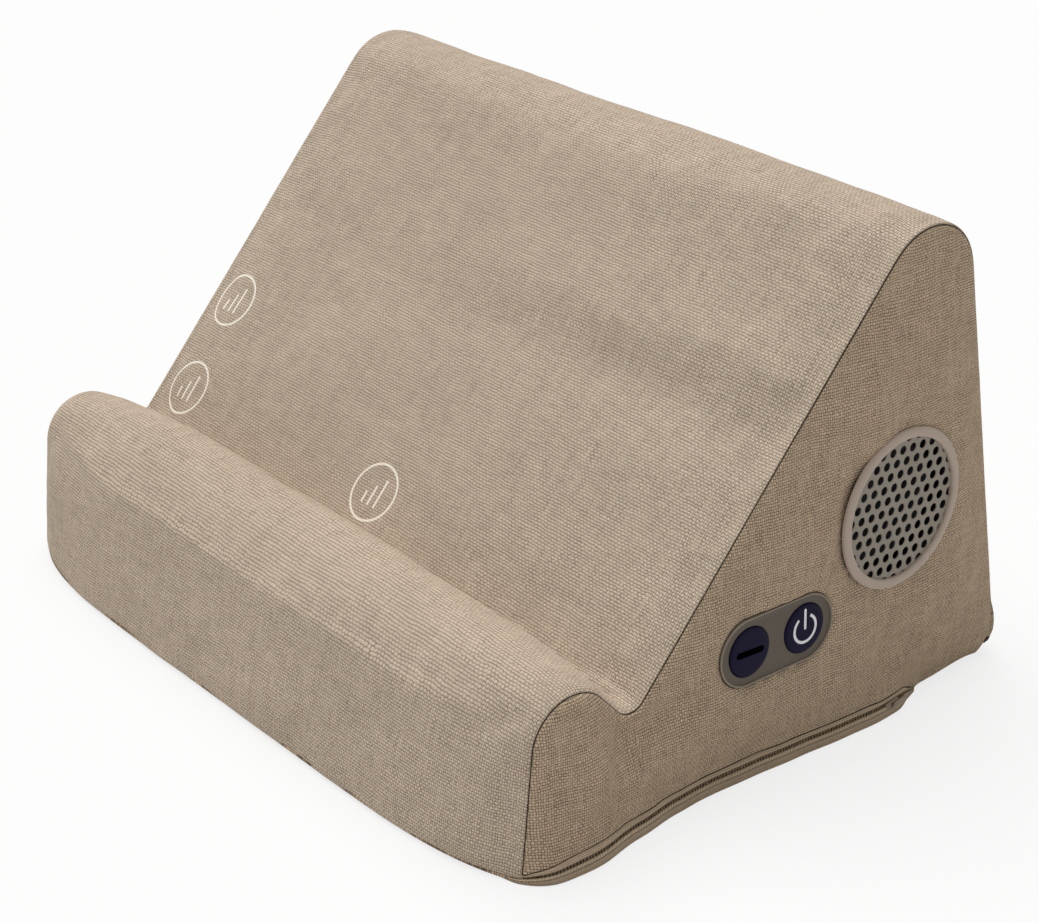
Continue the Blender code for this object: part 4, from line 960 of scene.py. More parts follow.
def creases(u, v, lines):
    """Sum of soft creases at a place in millimetres, each full in the middle of its line and 0 away from it."""
    total = 0.0
    for start, end, width, depth in lines:
        run = Vector(end) - Vector(start)
        length = run.length
        offset = Vector((u, v)) - Vector(start)
        along = offset.dot(run) / length
        across = offset.cross(run) / length
        ends = smooth(along / (0.3 * length)) * smooth((length - along) / (0.3 * length))
        total += depth * MM * exp(-(across / width) ** 2) * ends
    return total


# Each crease runs from one point to another, then come its width and depth, in millimetres
REST_CREASES = [
    ((154, 112), (95, 122), 4.5, 0.8), ((152, 84), (112, 100), 4.0, 0.8), ((152, 66), (128, 74), 3.5, 0.5),
    ((-150, 100), (-100, 112), 5.0, 0.7), ((-60, 14), (30, 6), 6.0, 0.35), ((60, 60), (140, 40), 9.0, 0.4),
]
SIDE_CREASES = [
    ((-74, 50), (-100, 14), 6.5, -1.2), ((-94, 38), (-30, 40), 12.0, 3.2), ((-92, 52), (-108, 30), 7.0, 0.7),
    ((-34, 66), (-52, 40), 6.0, 0.4), ((24, 132), (36, 112), 6.0, 0.4), ((70, 30), (30, 24), 8.0, 0.4),
]


def rest_fold(x, up):
    """Depth of the folds across the sloping face, from the valley upwards."""
    line = 108 * MM + 0.035 * x
    dent = exp(-((up - line + 11 * MM) / (12 * MM)) ** 2)
    roll = exp(-((up - line - 10 * MM) / (11 * MM)) ** 2)
    return (0.75 * dent - 0.55 * roll) * smooth((x + 90 * MM) / (170 * MM))


def settle(spot, normal, distance, fabric):
    """Signed move of a skin point along its normal, for seams, folds and slack."""
    x, y, z = spot
    move = -fabric.seam_depth * exp(-(distance / SEAM_GROOVE) ** 2) * smooth((z - 1.5 * MM) / (6 * MM))
    ripple = noise.noise(Vector((x * 60, y * 60, z * 60)))
    fine = noise.noise(Vector((x * 150 + 9, y * 150, z * 150)))
    slack = noise.noise(Vector((x * 17 + 4, y * 17, z * 17)))
    near = exp(-distance / SEAM_REACH)
    foot = smooth(z / (12 * MM)) * smooth(distance / (4 * MM))
    move += foot * (0.9 * slack + 0.35 * ripple * (1 + 1.6 * near) + 0.4 * near * fine) * MM
    away = smooth(distance / SEAM_REACH)
    rest_normal = Vector((0, -sin(REST_SLOPE), cos(REST_SLOPE)))
    rest = smooth((normal.dot(rest_normal) - 0.75) / 0.2) * smooth((z - 50 * MM) / (20 * MM)) * away
    if rest > 0:
        up = (y - FRONT - VALLEY_DEPTH) * cos(REST_SLOPE) + (z - VALLEY_HEIGHT) * sin(REST_SLOPE)
        move -= rest * (fabric.fold_depth * rest_fold(x, up) + creases(x / MM, up / MM, REST_CREASES))
    front = smooth((-normal.y - 0.8) / 0.15) * away * (1 if y < FRONT + 30 * MM else 0)
    if front > 0:
        swell = exp(-((z - FRONT_SWELL_HEIGHT) / (17 * MM)) ** 2) * smooth(distance / (30 * MM))
        move += front * (FRONT_SWELL * swell + 0.5 * MM * noise.noise(Vector((x * 35, 3.0, z * 20))))
    beside = smooth((abs(normal.x) - 0.6) / 0.3) * smooth(distance / (6 * MM))
    if beside > 0 and x > 0:
        ring = (SPEAKER_INVERSE @ spot).xy.length - RING_RADIUS + 0.2 * MM
        pad = max(stadium_distance(CONTROL_INVERSE @ spot) - PAD_RADIUS, 0.0)
        dents = 0.7 * MM * exp(-(ring / (3 * MM)) ** 2) + 0.6 * MM * exp(-(pad / (1.8 * MM)) ** 2)
        move -= beside * (creases(y / MM, z / MM, SIDE_CREASES) + dents)
    return move


def split_panel(mesh, panel):
    """One panel of the skin."""
    shape = bmesh.new()
    shape.from_mesh(mesh)
    gone = [face for face in shape.faces if face.material_index != panel]
    bmesh.ops.delete(shape, geom=gone, context="FACES")
    for face in shape.faces:
        face.material_index = 0
        face.smooth = True
    return shape


def chart_seams(shape, tree, zipped):
    """Second map: distance from the seam, and from the top of the zip."""
    layer = shape.loops.layers.uv.new("seam")
    spots = {}
    for vert in shape.verts:
        away = vert.co.z - zip_height(vert.co.y) if zipped and vert.co.y < ZIP_LAST else 1.0
        fade = 0.4 * max(2.5 * MM - vert.co.z, 0.0) + 0.45 * MM * smooth((vert.co.y - 78 * MM) / (20 * MM))
        spots[vert] = (tree.find(vert.co)[2] + fade, away)
    for face in shape.faces:
        for loop in face.loops:
            loop[layer].uv = spots[loop.vert]


# Small shape helpers


def link_piece(name, shape, finish, body, slot, nodes=(), sharp=35.0):
    """Object from a finished bmesh, riding on its body and standing for its nodes."""
    mesh = mesh_from(name, shape)
    mesh.materials.append(finish)
    mesh.shade_smooth()
    if sharp:
        mesh.set_sharp_from_angle(angle=radians(sharp))
    item = bpy.data.objects.new(name, mesh)
    bpy.context.scene.collection.objects.link(item)
    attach(item, body)
    if nodes:
        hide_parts(*nodes)
    return item


def apply_modifiers(item):
    """Keep the evaluated mesh and drop the modifiers that made it."""
    evaluated = item.evaluated_get(bpy.context.evaluated_depsgraph_get())
    mesh = bpy.data.meshes.new_from_object(evaluated)
    item.modifiers.clear()
    old = item.data
    item.data = mesh
    mesh.name = item.name
    bpy.data.meshes.remove(old)


def cut_with(item, shapes):
    """Take closed shapes away from an object."""
    tools = []
    for number, shape in enumerate(shapes):
        bmesh.ops.recalc_face_normals(shape, faces=shape.faces)
        tool = bpy.data.objects.new(f"tool_{number}", mesh_from("tool", shape))
        bpy.context.scene.collection.objects.link(tool)
        step = item.modifiers.new(tool.name, "BOOLEAN")
        step.operation = "DIFFERENCE"
        step.solver = "EXACT"
        step.object = tool
        tools.append(tool)
    bpy.context.view_layer.update()
    apply_modifiers(item)
    for tool in tools:
        mesh = tool.data
        bpy.data.objects.remove(tool)
        bpy.data.meshes.remove(mesh)


def spun(profile, steps, place=None):
    """Closed body turned about Z from (radius, height) points."""
    shape = bmesh.new()
    verts = [shape.verts.new((radius, 0, height)) for radius, height in profile]
    edges = [shape.edges.new(pair) for pair in zip(verts, verts[1:])]
    if profile[0][0] > 0 and profile[-1][0] > 0:
        edges.append(shape.edges.new((verts[-1], verts[0])))
    bmesh.ops.spin(
        shape, geom=verts + edges, cent=(0, 0, 0), axis=(0, 0, 1), angle=2 * pi, steps=steps, use_merge=True
    )
    bmesh.ops.remove_doubles(shape, verts=shape.verts, dist=WELD)
    bmesh.ops.recalc_face_normals(shape, faces=shape.faces)
    if place is not None:
        bmesh.ops.transform(shape, matrix=place, verts=shape.verts)
    return shape


def drum(radius, half, place):
    """Round cutter that reaches half its length to each side of its place."""
    return spun([(0, -half), (radius, -half), (radius, half), (0, half)], 96, place)


def pulled_apart(half, profile, segments, place=None):
    """Closed body with two round ends, its loops given as (radius, height) from one cap to the other."""
    shape = bmesh.new()
    radius, height = profile[0]
    made = bmesh.ops.create_circle(shape, cap_ends=True, radius=radius, segments=segments)
    turn = Matrix.Rotation(pi / segments, 4, "Z")
    bmesh.ops.rotate(shape, verts=made["verts"], matrix=turn, cent=(0, 0, 0))
    for vert in made["verts"]:
        vert.co.x += half if vert.co.x > 0 else -half
        vert.co.z = height
    edges = list(shape.edges)
    for next_radius, next_height in profile[1:]:
        extruded = bmesh.ops.extrude_edge_only(shape, edges=edges)["geom"]
        edges = [part for part in extruded if isinstance(part, bmesh.types.BMEdge)]
        for vert in (part for part in extruded if isinstance(part, bmesh.types.BMVert)):
            end = half if vert.co.x > 0 else -half
            vert.co.x = end + (vert.co.x - end) * next_radius / radius
            vert.co.y *= next_radius / radius
            vert.co.z = next_height
        radius = next_radius
    bmesh.ops.edgenet_fill(shape, edges=edges)
    bmesh.ops.recalc_face_normals(shape, faces=shape.faces)
    if place is not None:
        bmesh.ops.transform(shape, matrix=place, verts=shape.verts)
    return shape


def shifted(place, x, y=0.0, z=0.0):
    return place @ Matrix.Translation((x, y, z))


SECTION = make_section()
STADIUM_HALF = 13.5 * MM
PAD_RADIUS = 12.55 * MM
BUTTON_OFFSET = 12.7 * MM
BUTTON_RADIUS = 9 * MM
RING_RADIUS = 29.7 * MM
RING_BORE = 26.1 * MM
BARREL_RADIUS = 27.8 * MM
PLATE_RADIUS = 26.4 * MM
PLATE_SHEET = 0.35 * MM
LATTICE_TURN = radians(-4)
STUFFING_FRAMES = 14
MOST_SWELL = 2.2 * MM
SPEAKER_PLACE = side_frame(FRONT + SPEAKER_FROM_FRONT, SPEAKER_HEIGHT)
CONTROL_PLACE = side_frame(FRONT + CONTROLS_FROM_FRONT, CONTROLS_HEIGHT)
SPEAKER_INVERSE = SPEAKER_PLACE.inverted()
CONTROL_INVERSE = CONTROL_PLACE.inverted()


def zip_share(y):
    """Share of its full height that the zip has along the foot, low at its two ends."""
    front = 1 - (1 - ZIP_LOWEST) * exp(-max(y - FRONT, 0.0) / ZIP_CLIMB)
    return front * (0.3 + 0.7 * smooth((ZIP_LAST - y) / ZIP_FALL))


def zip_height(y):
    """Height of the top edge of the zip."""
    return ZIP_TOP * zip_share(y)


def zip_path():
    """Points along the foot of the cushion that the zip follows, from the front round the corner to its tail."""
    level = 5 * MM
    station = min(SECTION[:20], key=lambda spot: abs(spot[0].y - level))
    points = [wrap_point(station, x * MM).xy for x in (141, 143, 145, 147, 149)]
    y = FRONT + 1.5 * MM
    while y < ZIP_LAST:
        points.append(Vector((HALF_WIDTH + settled_bulge(y, level, 1), y)))
        y += 1.3 * MM
    for _ in range(6):
        inner = [(a + 2 * b + c) / 4 for a, b, c in zip(points, points[1:], points[2:])]
        points = [points[0]] + inner + [points[-1]]
    return points


# Operators

CAMERA_LENS = 83.34
CAMERA_PLACE = (0.6344, -0.5212, 0.4583)
CAMERA_LOOK = (-0.6902, 0.5762, -0.4378)
KEY_FROM = (-0.32, 0.02, 0.95)
FLOOR_REACH = 6.0
SLIDER_PAINT = (0.27, 0.20, 0.14)
SLIDER_SIZE = (2.0 * MM, 6.6 * MM, 3.4 * MM)
# Pin of the pull at rest, on the axis of its joint
PULL_PIN = (0.158944, 0.050747, 0.005)
THROUGH = 12 * MM


class CUSHION_OT_stage(bpy.types.Operator):
    """Put up the camera, the lights and the floor"""

    bl_idname = "cushion.stage"
    bl_label = "Stage"

    def execute(self, context):
        scene = context.scene
        settings = scene.cushion_stage
        camera = bpy.data.cameras.new("camera")
        camera.sensor_width = 36
        camera.lens = CAMERA_LENS
        camera.clip_start = 0.01
        camera.clip_end = 20
        eye = bpy.data.objects.new("camera", camera)
        scene.collection.objects.link(eye)
        turn = Vector(CAMERA_LOOK).to_track_quat("-Z", "Y").to_matrix().to_4x4()
        eye.matrix_world = Matrix.Translation(CAMERA_PLACE) @ turn
        scene.camera = eye
        sun = bpy.data.lights.new("key", "SUN")
        sun.energy = settings.key
        sun.angle = settings.spread
        lamp = bpy.data.objects.new("key", sun)
        scene.collection.objects.link(lamp)
        lamp.rotation_euler = Vector(KEY_FROM).to_track_quat("Z", "Y").to_euler()
        self.room(scene, settings)
        self.floor(scene, settings)
        scene.view_settings.view_transform = "Standard"
        return {"FINISHED"}

    def room(self, scene, settings):
        """Even light from all round, and white where the eye, gloss and glass see the room."""
        graph = Graph("room", bpy.data.worlds)
        scene.world = graph.owner
        plain = graph.node("ShaderNodeBackground", None, {"Color": (1, 1, 1, 1), "Strength": settings.sky})
        white = graph.node("ShaderNodeBackground", None, {"Color": (1, 1, 1, 1), "Strength": 1.0})
        mixed = graph.node("ShaderNodeMixShader", None, {0: graph.seen(), 1: plain, 2: white})
        graph.close("ShaderNodeOutputWorld", mixed)

    def floor(self, scene, settings):
        graph = Graph("floor_white")
        place = graph.place()
        faint = graph.noise(place, 3.0, 2.0, 0.5)
        colour = graph.shade(settings.floor[:], 0.995 + faint * 0.01)
        finish = graph.surface(colour, 0.9, specular=0.0)
        self.lift(graph, settings.lift)
        shape = bmesh.new()
        bmesh.ops.create_grid(shape, x_segments=8, y_segments=8, size=FLOOR_REACH)
        mesh = mesh_from("floor", shape)
        mesh.materials.append(finish)
        floor = bpy.data.objects.new("floor", mesh)
        scene.collection.objects.link(floor)

    def lift(self, graph, share):
        """Let the eye, gloss and glass see the floor nearer to white, with its shadow still on it."""
        output = graph.tree.nodes["Material Output"]
        shader = Signal(graph, output.inputs["Surface"].links[0].from_socket)
        glow = graph.node("ShaderNodeEmission", None, {"Color": (1, 1, 1, 1), "Strength": 1.0})
        mixed = graph.node("ShaderNodeMixShader", None, {0: graph.seen() * share, 1: shader, 2: glow})
        graph.tree.links.new(mixed.socket, output.inputs["Surface"])


class CUSHION_OT_covers(bpy.types.Operator):
    """Sew the wrap, side and base covers over the filled cushion"""

    bl_idname = "cushion.covers"
    bl_label = "Covers"

    def execute(self, context):
        fabric = context.scene.cushion_fabric
        skin = self.fill(fabric)
        tree = seam_tree(skin)
        panels = self.finishes(context)
        for panel, (name, finish, slot, nodes) in panels.items():
            shape = split_panel(skin, panel)
            if panel == RIGHT:
                self.clear_zip(shape)
            chart_seams(shape, tree, panel == RIGHT)
            item = link_piece(name, shape, finish, "cushion", slot, nodes, sharp=0)
            step = item.modifiers.new("thickness", "SOLIDIFY")
            step.thickness = fabric.cover_thickness
            step.offset = -1.0
            step.use_even_offset = False
            apply_modifiers(item)
            for vert in item.data.vertices:
                vert.co.z = max(vert.co.z, SOLE / 2)
            if panel == RIGHT:
                self.open_holes(item)
        bpy.data.meshes.remove(skin)
        return {"FINISHED"}

    def fill(self, fabric):
        """Closed skin after stuffing, one subdivision and its folds."""
        mesh = mesh_from("skin", skin_mesh())
        item = bpy.data.objects.new("skin", mesh)
        bpy.context.scene.collection.objects.link(item)
        fill_with_air(item, seam_tree(mesh))
        finer = item.modifiers.new("finer", "SUBSURF")
        finer.levels = 1
        finer.render_levels = 1
        apply_modifiers(item)
        mesh = item.data
        tree = seam_tree(mesh)
        normals = [vert.normal.copy() for vert in mesh.vertices]
        for vert, normal in zip(mesh.vertices, normals):
            vert.co += normal * settle(vert.co, normal, tree.find(vert.co)[2], fabric)
            vert.co.z = max(vert.co.z, SOLE / 2)
        bpy.data.objects.remove(item)
        return mesh

    def finishes(self, context):
        fabric = context.scene.cushion_fabric
        marks = context.scene.cushion_print
        depth = fabric.thread_depth
        wrap_pitch = (fabric.wrap_pitch_x, fabric.wrap_pitch_y)
        side_pitch = (fabric.side_pitch_x, fabric.side_pitch_y)
        wrap_colours = (fabric.wrap_thread[:], fabric.wrap_gap_shade[:])
        side_colours = (fabric.side_thread[:], fabric.side_gap_shade[:])
        wrap = cloth_finish("wrap_weave", *wrap_colours, wrap_pitch, depth, 0.08, marks)
        side = cloth_finish("side_weave", *side_colours, side_pitch, depth, 0.06, zipped=True)
        base = cloth_finish("base_weave", *side_colours, wrap_pitch, depth, 0.06)
        return {
            WRAP: ("wrap_cover", wrap, "canvas", ("cover_wrap", "foam_core")),
            RIGHT: ("right_cover", side, "side_canvas", ("cover_side_right",)),
            LEFT: ("left_cover", side, "side_canvas", ("cover_side_left",)),
            BASE: ("base_cover", base, "base_fabric", ("cover_base",)),
        }

    def clear_zip(self, shape):
        """Take the panel away behind the zip."""
        places = [FRONT, FRONT + 11 * MM, FRONT + 25 * MM, ZIP_LAST - ZIP_FALL, ZIP_LAST]
        corners = [Vector((HALF_WIDTH, y, zip_height(y) - 0.5 * MM)) for y in places]
        planes = []
        for first, last in zip(corners, corners[1:]):
            run = last - first
            planes.append((first, Vector((0, -run.z, run.y)).normalized()))
        for spot, normal in planes:
            bmesh.ops.bisect_plane(
                shape, geom=shape.verts[:] + shape.edges[:] + shape.faces[:], dist=WELD,
                plane_co=spot, plane_no=normal,
            )
        gone = []
        for face in shape.faces:
            middle = face.calc_center_median()
            if all((middle - spot).dot(normal) < 0 for spot, normal in planes):
                gone.append(face)
        bmesh.ops.delete(shape, geom=gone, context="FACES")

    def open_holes(self, item):
        """Holes for the loudspeaker and the button panel."""
        radius = PAD_RADIUS + 0.25 * MM
        controls = pulled_apart(STADIUM_HALF, [(radius, -THROUGH), (radius, THROUGH)], 96, CONTROL_PLACE)
        cut_with(item, [drum(BARREL_RADIUS + 0.3 * MM, THROUGH, SPEAKER_PLACE), controls])


class CUSHION_OT_zip(bpy.types.Operator):
    """Sew the zip along the right bottom edge"""

    bl_idname = "cushion.zip"
    bl_label = "Zip"

    def execute(self, context):
        path = zip_path()
        around = profile_lengths()
        around.append(around[-1] + 1 * MM)
        count = len(ZIP_PROFILE)
        run = running_lengths(path)
        shape = bmesh.new()
        shape.loops.layers.uv.new("thread")
        panel_sheet(
            shape, count, len(path) - 1,
            lambda c, r: self.place(path, run, c % count, r),
            lambda c, r: (around[c], run[r]), 0,
        )
        bmesh.ops.remove_doubles(shape, verts=shape.verts, dist=WELD)
        bmesh.ops.holes_fill(shape, edges=shape.edges, sides=60)
        bmesh.ops.recalc_face_normals(shape, faces=shape.faces)
        finish = zip_finish("zip_tape", context.scene.cushion_hardware.zip_tape[:])
        link_piece(
            "zip_strip", shape, finish, "cushion", "zip_tape",
            ("zip_tape_upper", "zip_tape_lower", "zip_coil_upper", "zip_coil_lower", "zip_stop_front",
             "zip_stop_back"), sharp=60,
        )
        self.slider()
        return {"FINISHED"}

    def slider(self):
        """Small painted slider on the zip, with a thin pull that lies along it."""
        paint = moulded_finish("slider_paint", SLIDER_PAINT, 0.5, grain=0.5 * MM, specular=0.4)
        low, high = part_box("zip_slider")
        length = SLIDER_SIZE[1]
        shape = bmesh.new()
        bmesh.ops.create_cube(shape, size=1.0)
        bmesh.ops.scale(shape, vec=SLIDER_SIZE, verts=shape.verts)
        bmesh.ops.subdivide_edges(
            shape, edges=[edge for edge in shape.edges if abs((edge.verts[0].co - edge.verts[1].co).y) > length / 2],
            cuts=4, use_grid_fill=True,
        )
        for vert in shape.verts:
            vert.co.z *= 1 - 0.32 * smooth(-2 * vert.co.y / length)
            vert.co.x -= 0.25 * MM * abs(2 * vert.co.y / length) if vert.co.x > 0 else 0.0
        bmesh.ops.bevel(
            shape, geom=shape.edges, offset=0.25 * MM, segments=2, profile=0.5, affect="EDGES", material=-1
        )
        bmesh.ops.translate(shape, vec=(low + high) / 2 + Vector((-0.2 * MM, 0, 0)), verts=shape.verts)
        link_piece("slider_body", shape, paint, "slider", "dark_metal", ("zip_slider",), sharp=45)
        edge = [(0.95, -0.3), (1.2, -0.1), (1.2, 0.1), (0.95, 0.3)]
        tab = pulled_apart(3.1 * MM, [(radius * MM, height * MM) for radius, height in edge], 24)
        turn = Matrix.Rotation(pi / 2, 4, "Y") @ Matrix.Rotation(pi / 2, 4, "Z")
        bmesh.ops.transform(tab, matrix=turn, verts=tab.verts)
        bmesh.ops.translate(tab, vec=(0, 3.6 * MM, 0), verts=tab.verts)
        bmesh.ops.rotate(tab, verts=tab.verts, matrix=Matrix.Rotation(radians(10), 4, "Z"), cent=(0, 0, 0))
        bmesh.ops.translate(tab, vec=Vector(PULL_PIN) + Vector((-0.9 * MM, 0, 0)), verts=tab.verts)
        link_piece("slider_pull", tab, paint, "pull", "dark_metal", ("zip_pull",), sharp=45)

    def place(self, path, run, column, row):
        """Point of the zip's profile on its path, drawn in at both ends."""
        out, height = ZIP_PROFILE[column]
        ahead = path[min(row + 1, len(path) - 1)]
        behind = path[max(row - 1, 0)]
        along = (ahead - behind).normalized()
        normal = Vector((along.y, -along.x))
        start = smooth(run[row] / (9 * MM))
        end = smooth((run[-1] - run[row]) / (14 * MM))
        full = start * end
        out = out * MM * full - (1 - full) * 1.0 * MM
        rise = height * MM * zip_share(path[row].y) * (0.3 + 0.7 * start)
        wave = 0.25 * MM * noise.noise(Vector((run[row] * 45, 0, 0))) * full
        spot = path[row] + normal * (out + wave)
        return Vector((spot.x, spot.y, rise))


class CUSHION_OT_grille(bpy.types.Operator):
    """Set the ring and the perforated plate over the loudspeaker"""

    bl_idname = "cushion.grille"
    bl_label = "Grille"

    def execute(self, context):
        settings = context.scene.cushion_hardware
        outline = [
            (RING_BORE, -0.5), (RING_BORE, 0.75), (RING_BORE + 0.12 * MM, 1.05), (RING_BORE + 0.45 * MM, 1.3),
            (RING_BORE + 1.2 * MM, 1.42), (RING_RADIUS - 0.9 * MM, 1.32), (RING_RADIUS - 0.3 * MM, 1.0),
            (RING_RADIUS, 0.5), (RING_RADIUS, -0.2), (RING_RADIUS - 0.4 * MM, -0.5), (BARREL_RADIUS, -0.5),
            (BARREL_RADIUS, -9.6), (BARREL_RADIUS - 1 * MM, -9.6), (BARREL_RADIUS - 1 * MM, -0.7),
        ]
        profile = [(radius, height * MM) for radius, height in outline]
        ring = spun(profile, 120, SPEAKER_PLACE)
        finish = moulded_finish(
            "ring_plastic", settings.ring[:], 0.55, grain=0.5 * MM, specular=0.3, seat=SPEAKER_PLACE
        )
        link_piece("speaker_ring", ring, finish, "cushion", "ring_plastic", ("grille_ring",), sharp=40)
        spots = self.lattice(settings)
        inside = PLATE_RADIUS - settings.hole_radius - 0.1 * MM
        plate = self.plate([spot for spot in spots if spot.length <= inside], settings.hole_radius)
        finish = perforated_finish("plate_paint", settings.plate[:])
        item = link_piece("speaker_grille", plate, finish, "cushion", "plate_metal", ("grille_plate",), sharp=40)
        notches = bmesh.new()
        for spot in spots:
            if inside < spot.length < PLATE_RADIUS + 0.6 * settings.hole_radius:
                bmesh.ops.create_cone(
                    notches, cap_ends=True, segments=16, radius1=settings.hole_radius, radius2=settings.hole_radius,
                    depth=4 * MM, matrix=Matrix.Translation((spot.x, spot.y, 0)),
                )
        bmesh.ops.transform(notches, matrix=SPEAKER_PLACE, verts=notches.verts)
        cut_with(item, [notches])
        item.data.set_sharp_from_angle(angle=radians(40))
        return {"FINISHED"}

    def lattice(self, settings):
        """Places of the holes, in rows that stand half a step apart."""
        reach = int(PLATE_RADIUS / settings.hole_pitch) + 2
        turn = Matrix.Rotation(LATTICE_TURN, 2)
        rise = settings.hole_pitch * 3 ** 0.5 / 2
        return [
            turn @ Vector(((column + row / 2) * settings.hole_pitch, row * rise))
            for row in range(-reach, reach + 1) for column in range(-2 * reach, 2 * reach + 1)
        ]

    def plate(self, spots, radius):
        """Disc with round holes."""
        shape = bmesh.new()
        bmesh.ops.create_circle(shape, segments=96, radius=PLATE_RADIUS)
        for spot in spots:
            bmesh.ops.create_circle(
                shape, segments=16, radius=radius, matrix=Matrix.Translation((spot.x, spot.y, 0))
            )
        bmesh.ops.triangle_fill(shape, use_beauty=True, use_dissolve=False, edges=shape.edges)
        made = bmesh.ops.extrude_face_region(shape, geom=shape.faces[:])["geom"]
        moved = [part for part in made if isinstance(part, bmesh.types.BMVert)]
        bmesh.ops.translate(shape, vec=(0, 0, -PLATE_SHEET), verts=moved)
        bmesh.ops.translate(shape, vec=(0, 0, 0.2 * MM), verts=shape.verts)
        bmesh.ops.recalc_face_normals(shape, faces=shape.faces)
        bmesh.ops.transform(shape, matrix=SPEAKER_PLACE, verts=shape.verts)
        return shape


class CUSHION_OT_controls(bpy.types.Operator):
    """Set the long panel with its two buttons"""

    bl_idname = "cushion.controls"
    bl_label = "Controls"

    def execute(self, context):
        settings = context.scene.cushion_hardware
        self.bezel(settings)
        finish = moulded_finish(
            "button_plastic", settings.button[:], 0.6, grain=0.6 * MM, depth=0.01 * MM, specular=0.1
        )
        outline = [
            (0, -0.1), (7.2, -0.14), (8.3, -0.2), (8.75, -0.34), (8.96, -0.62), (9.0, -1.0), (9.0, -2.0),
            (8.6, -2.2), (0, -2.2),
        ]
        profile = [(radius * MM, height * MM) for radius, height in outline]
        for kind, side in (("mode", -1), ("power", 1)):
            cap = spun(profile, 72, shifted(CONTROL_PLACE, side * BUTTON_OFFSET))
            link_piece(f"{kind}_cap", cap, finish, f"{kind}_key", "button_plastic", (f"{kind}_button",), sharp=40)
        self.symbols(settings)
        return {"FINISHED"}

    def bezel(self, settings):
        outline = [
            (PAD_RADIUS - 1.05 * MM, -0.8), (PAD_RADIUS - 0.85 * MM, -0.74), (PAD_RADIUS - 0.75 * MM, -0.35),
            (PAD_RADIUS - 0.58 * MM, -0.12), (PAD_RADIUS - 0.25 * MM, -0.12), (PAD_RADIUS - 0.02 * MM, -0.4),
            (PAD_RADIUS, -2.4), (15 * MM, -2.4), (15 * MM, -3.6),
        ]
        profile = [(radius, height * MM) for radius, height in outline]
        shape = pulled_apart(STADIUM_HALF, profile, 96, CONTROL_PLACE)
        finish = self.bezel_finish(settings)
        item = link_piece("button_panel", shape, finish, "cushion", "panel_plastic", ("control_bezel",), sharp=50)
        cut_with(item, [
            drum(BUTTON_RADIUS + 0.3 * MM, 8 * MM, shifted(CONTROL_PLACE, side * BUTTON_OFFSET)) for side in (-1, 1)
        ])
        item.data.set_sharp_from_angle(angle=radians(50))

    def bezel_finish(self, settings):
        """Brown plastic whose raised rim is lighter."""
        graph = Graph("panel_plastic")
        place = graph.place()
        rim = raised(graph, place, CONTROL_PLACE)
        fine = graph.noise(place, 1800.0, 2.0, 0.6)
        broad = graph.noise(place, 70.0, 3.0, 0.5)
        light = [min(channel * 2.3, 1.0) for channel in settings.panel]
        mixed = graph.mix(rim, settings.panel[:], light)
        shaded = graph.shade(mixed, 0.9 + broad * 0.14 + fine * 0.06)
        return graph.surface(shaded, 0.5 + fine * 0.12, graph.bump(fine, 0.02 * MM), specular=0.25)

    def symbols(self, settings):
        """Power symbol on the power button and dash on the mode button, as thin raised and sunk prints."""
        light = moulded_finish("symbol_paint", settings.symbol[:], 0.45, grain=0.5 * MM, depth=0.01 * MM)
        dark = moulded_finish("dash_rubber", (0.0005, 0.0005, 0.0005), 0.95, depth=0.01 * MM, specular=0.0)
        place = shifted(CONTROL_PLACE, BUTTON_OFFSET, 0, -0.12 * MM)
        other_place = shifted(CONTROL_PLACE, -BUTTON_OFFSET, 0, -0.12 * MM) @ Matrix.Rotation(radians(-3), 4, "Z")
        shape = bmesh.new()
        radius, half, rise = 5.0 * MM, 0.52 * MM, 0.08 * MM
        corners = [(radius - half, -rise), (radius + half, -rise), (radius + half, rise), (radius - half, rise)]
        verts = [shape.verts.new((r, 0, h)) for r, h in corners]
        edges = [shape.edges.new(pair) for pair in zip(verts, verts[1:] + verts[:1])]
        start = Matrix.Rotation(radians(126), 4, "Z")
        bmesh.ops.rotate(shape, verts=verts, matrix=start, cent=(0, 0, 0))
        bmesh.ops.spin(
            shape, geom=verts + edges, cent=(0, 0, 0), axis=(0, 0, 1), angle=radians(296), steps=60, use_merge=False
        )
        bmesh.ops.holes_fill(shape, edges=shape.edges, sides=4)
        bar = pulled_apart(3.4 * MM, [(half, -rise), (half, rise)], 24)
        bmesh.ops.rotate(bar, verts=bar.verts, matrix=Matrix.Rotation(pi / 2, 4, "Z"), cent=(0, 0, 0))
        bmesh.ops.translate(bar, vec=(0, 3.6 * MM, 0), verts=bar.verts)
        add_shape(shape, bar)
        bmesh.ops.recalc_face_normals(shape, faces=shape.faces)
        bmesh.ops.transform(shape, matrix=place, verts=shape.verts)
        link_piece("power_symbol", shape, light, "power_key", "button_plastic", sharp=30)
        edge = [(1.2 * MM, -0.1 * MM), (1.2 * MM, 0.02 * MM), (1.1 * MM, 0.05 * MM)]
        dash = pulled_apart(5.0 * MM, edge, 40, other_place)
        link_piece("mode_dash", dash, dark, "mode_key", "button_plastic", sharp=30)


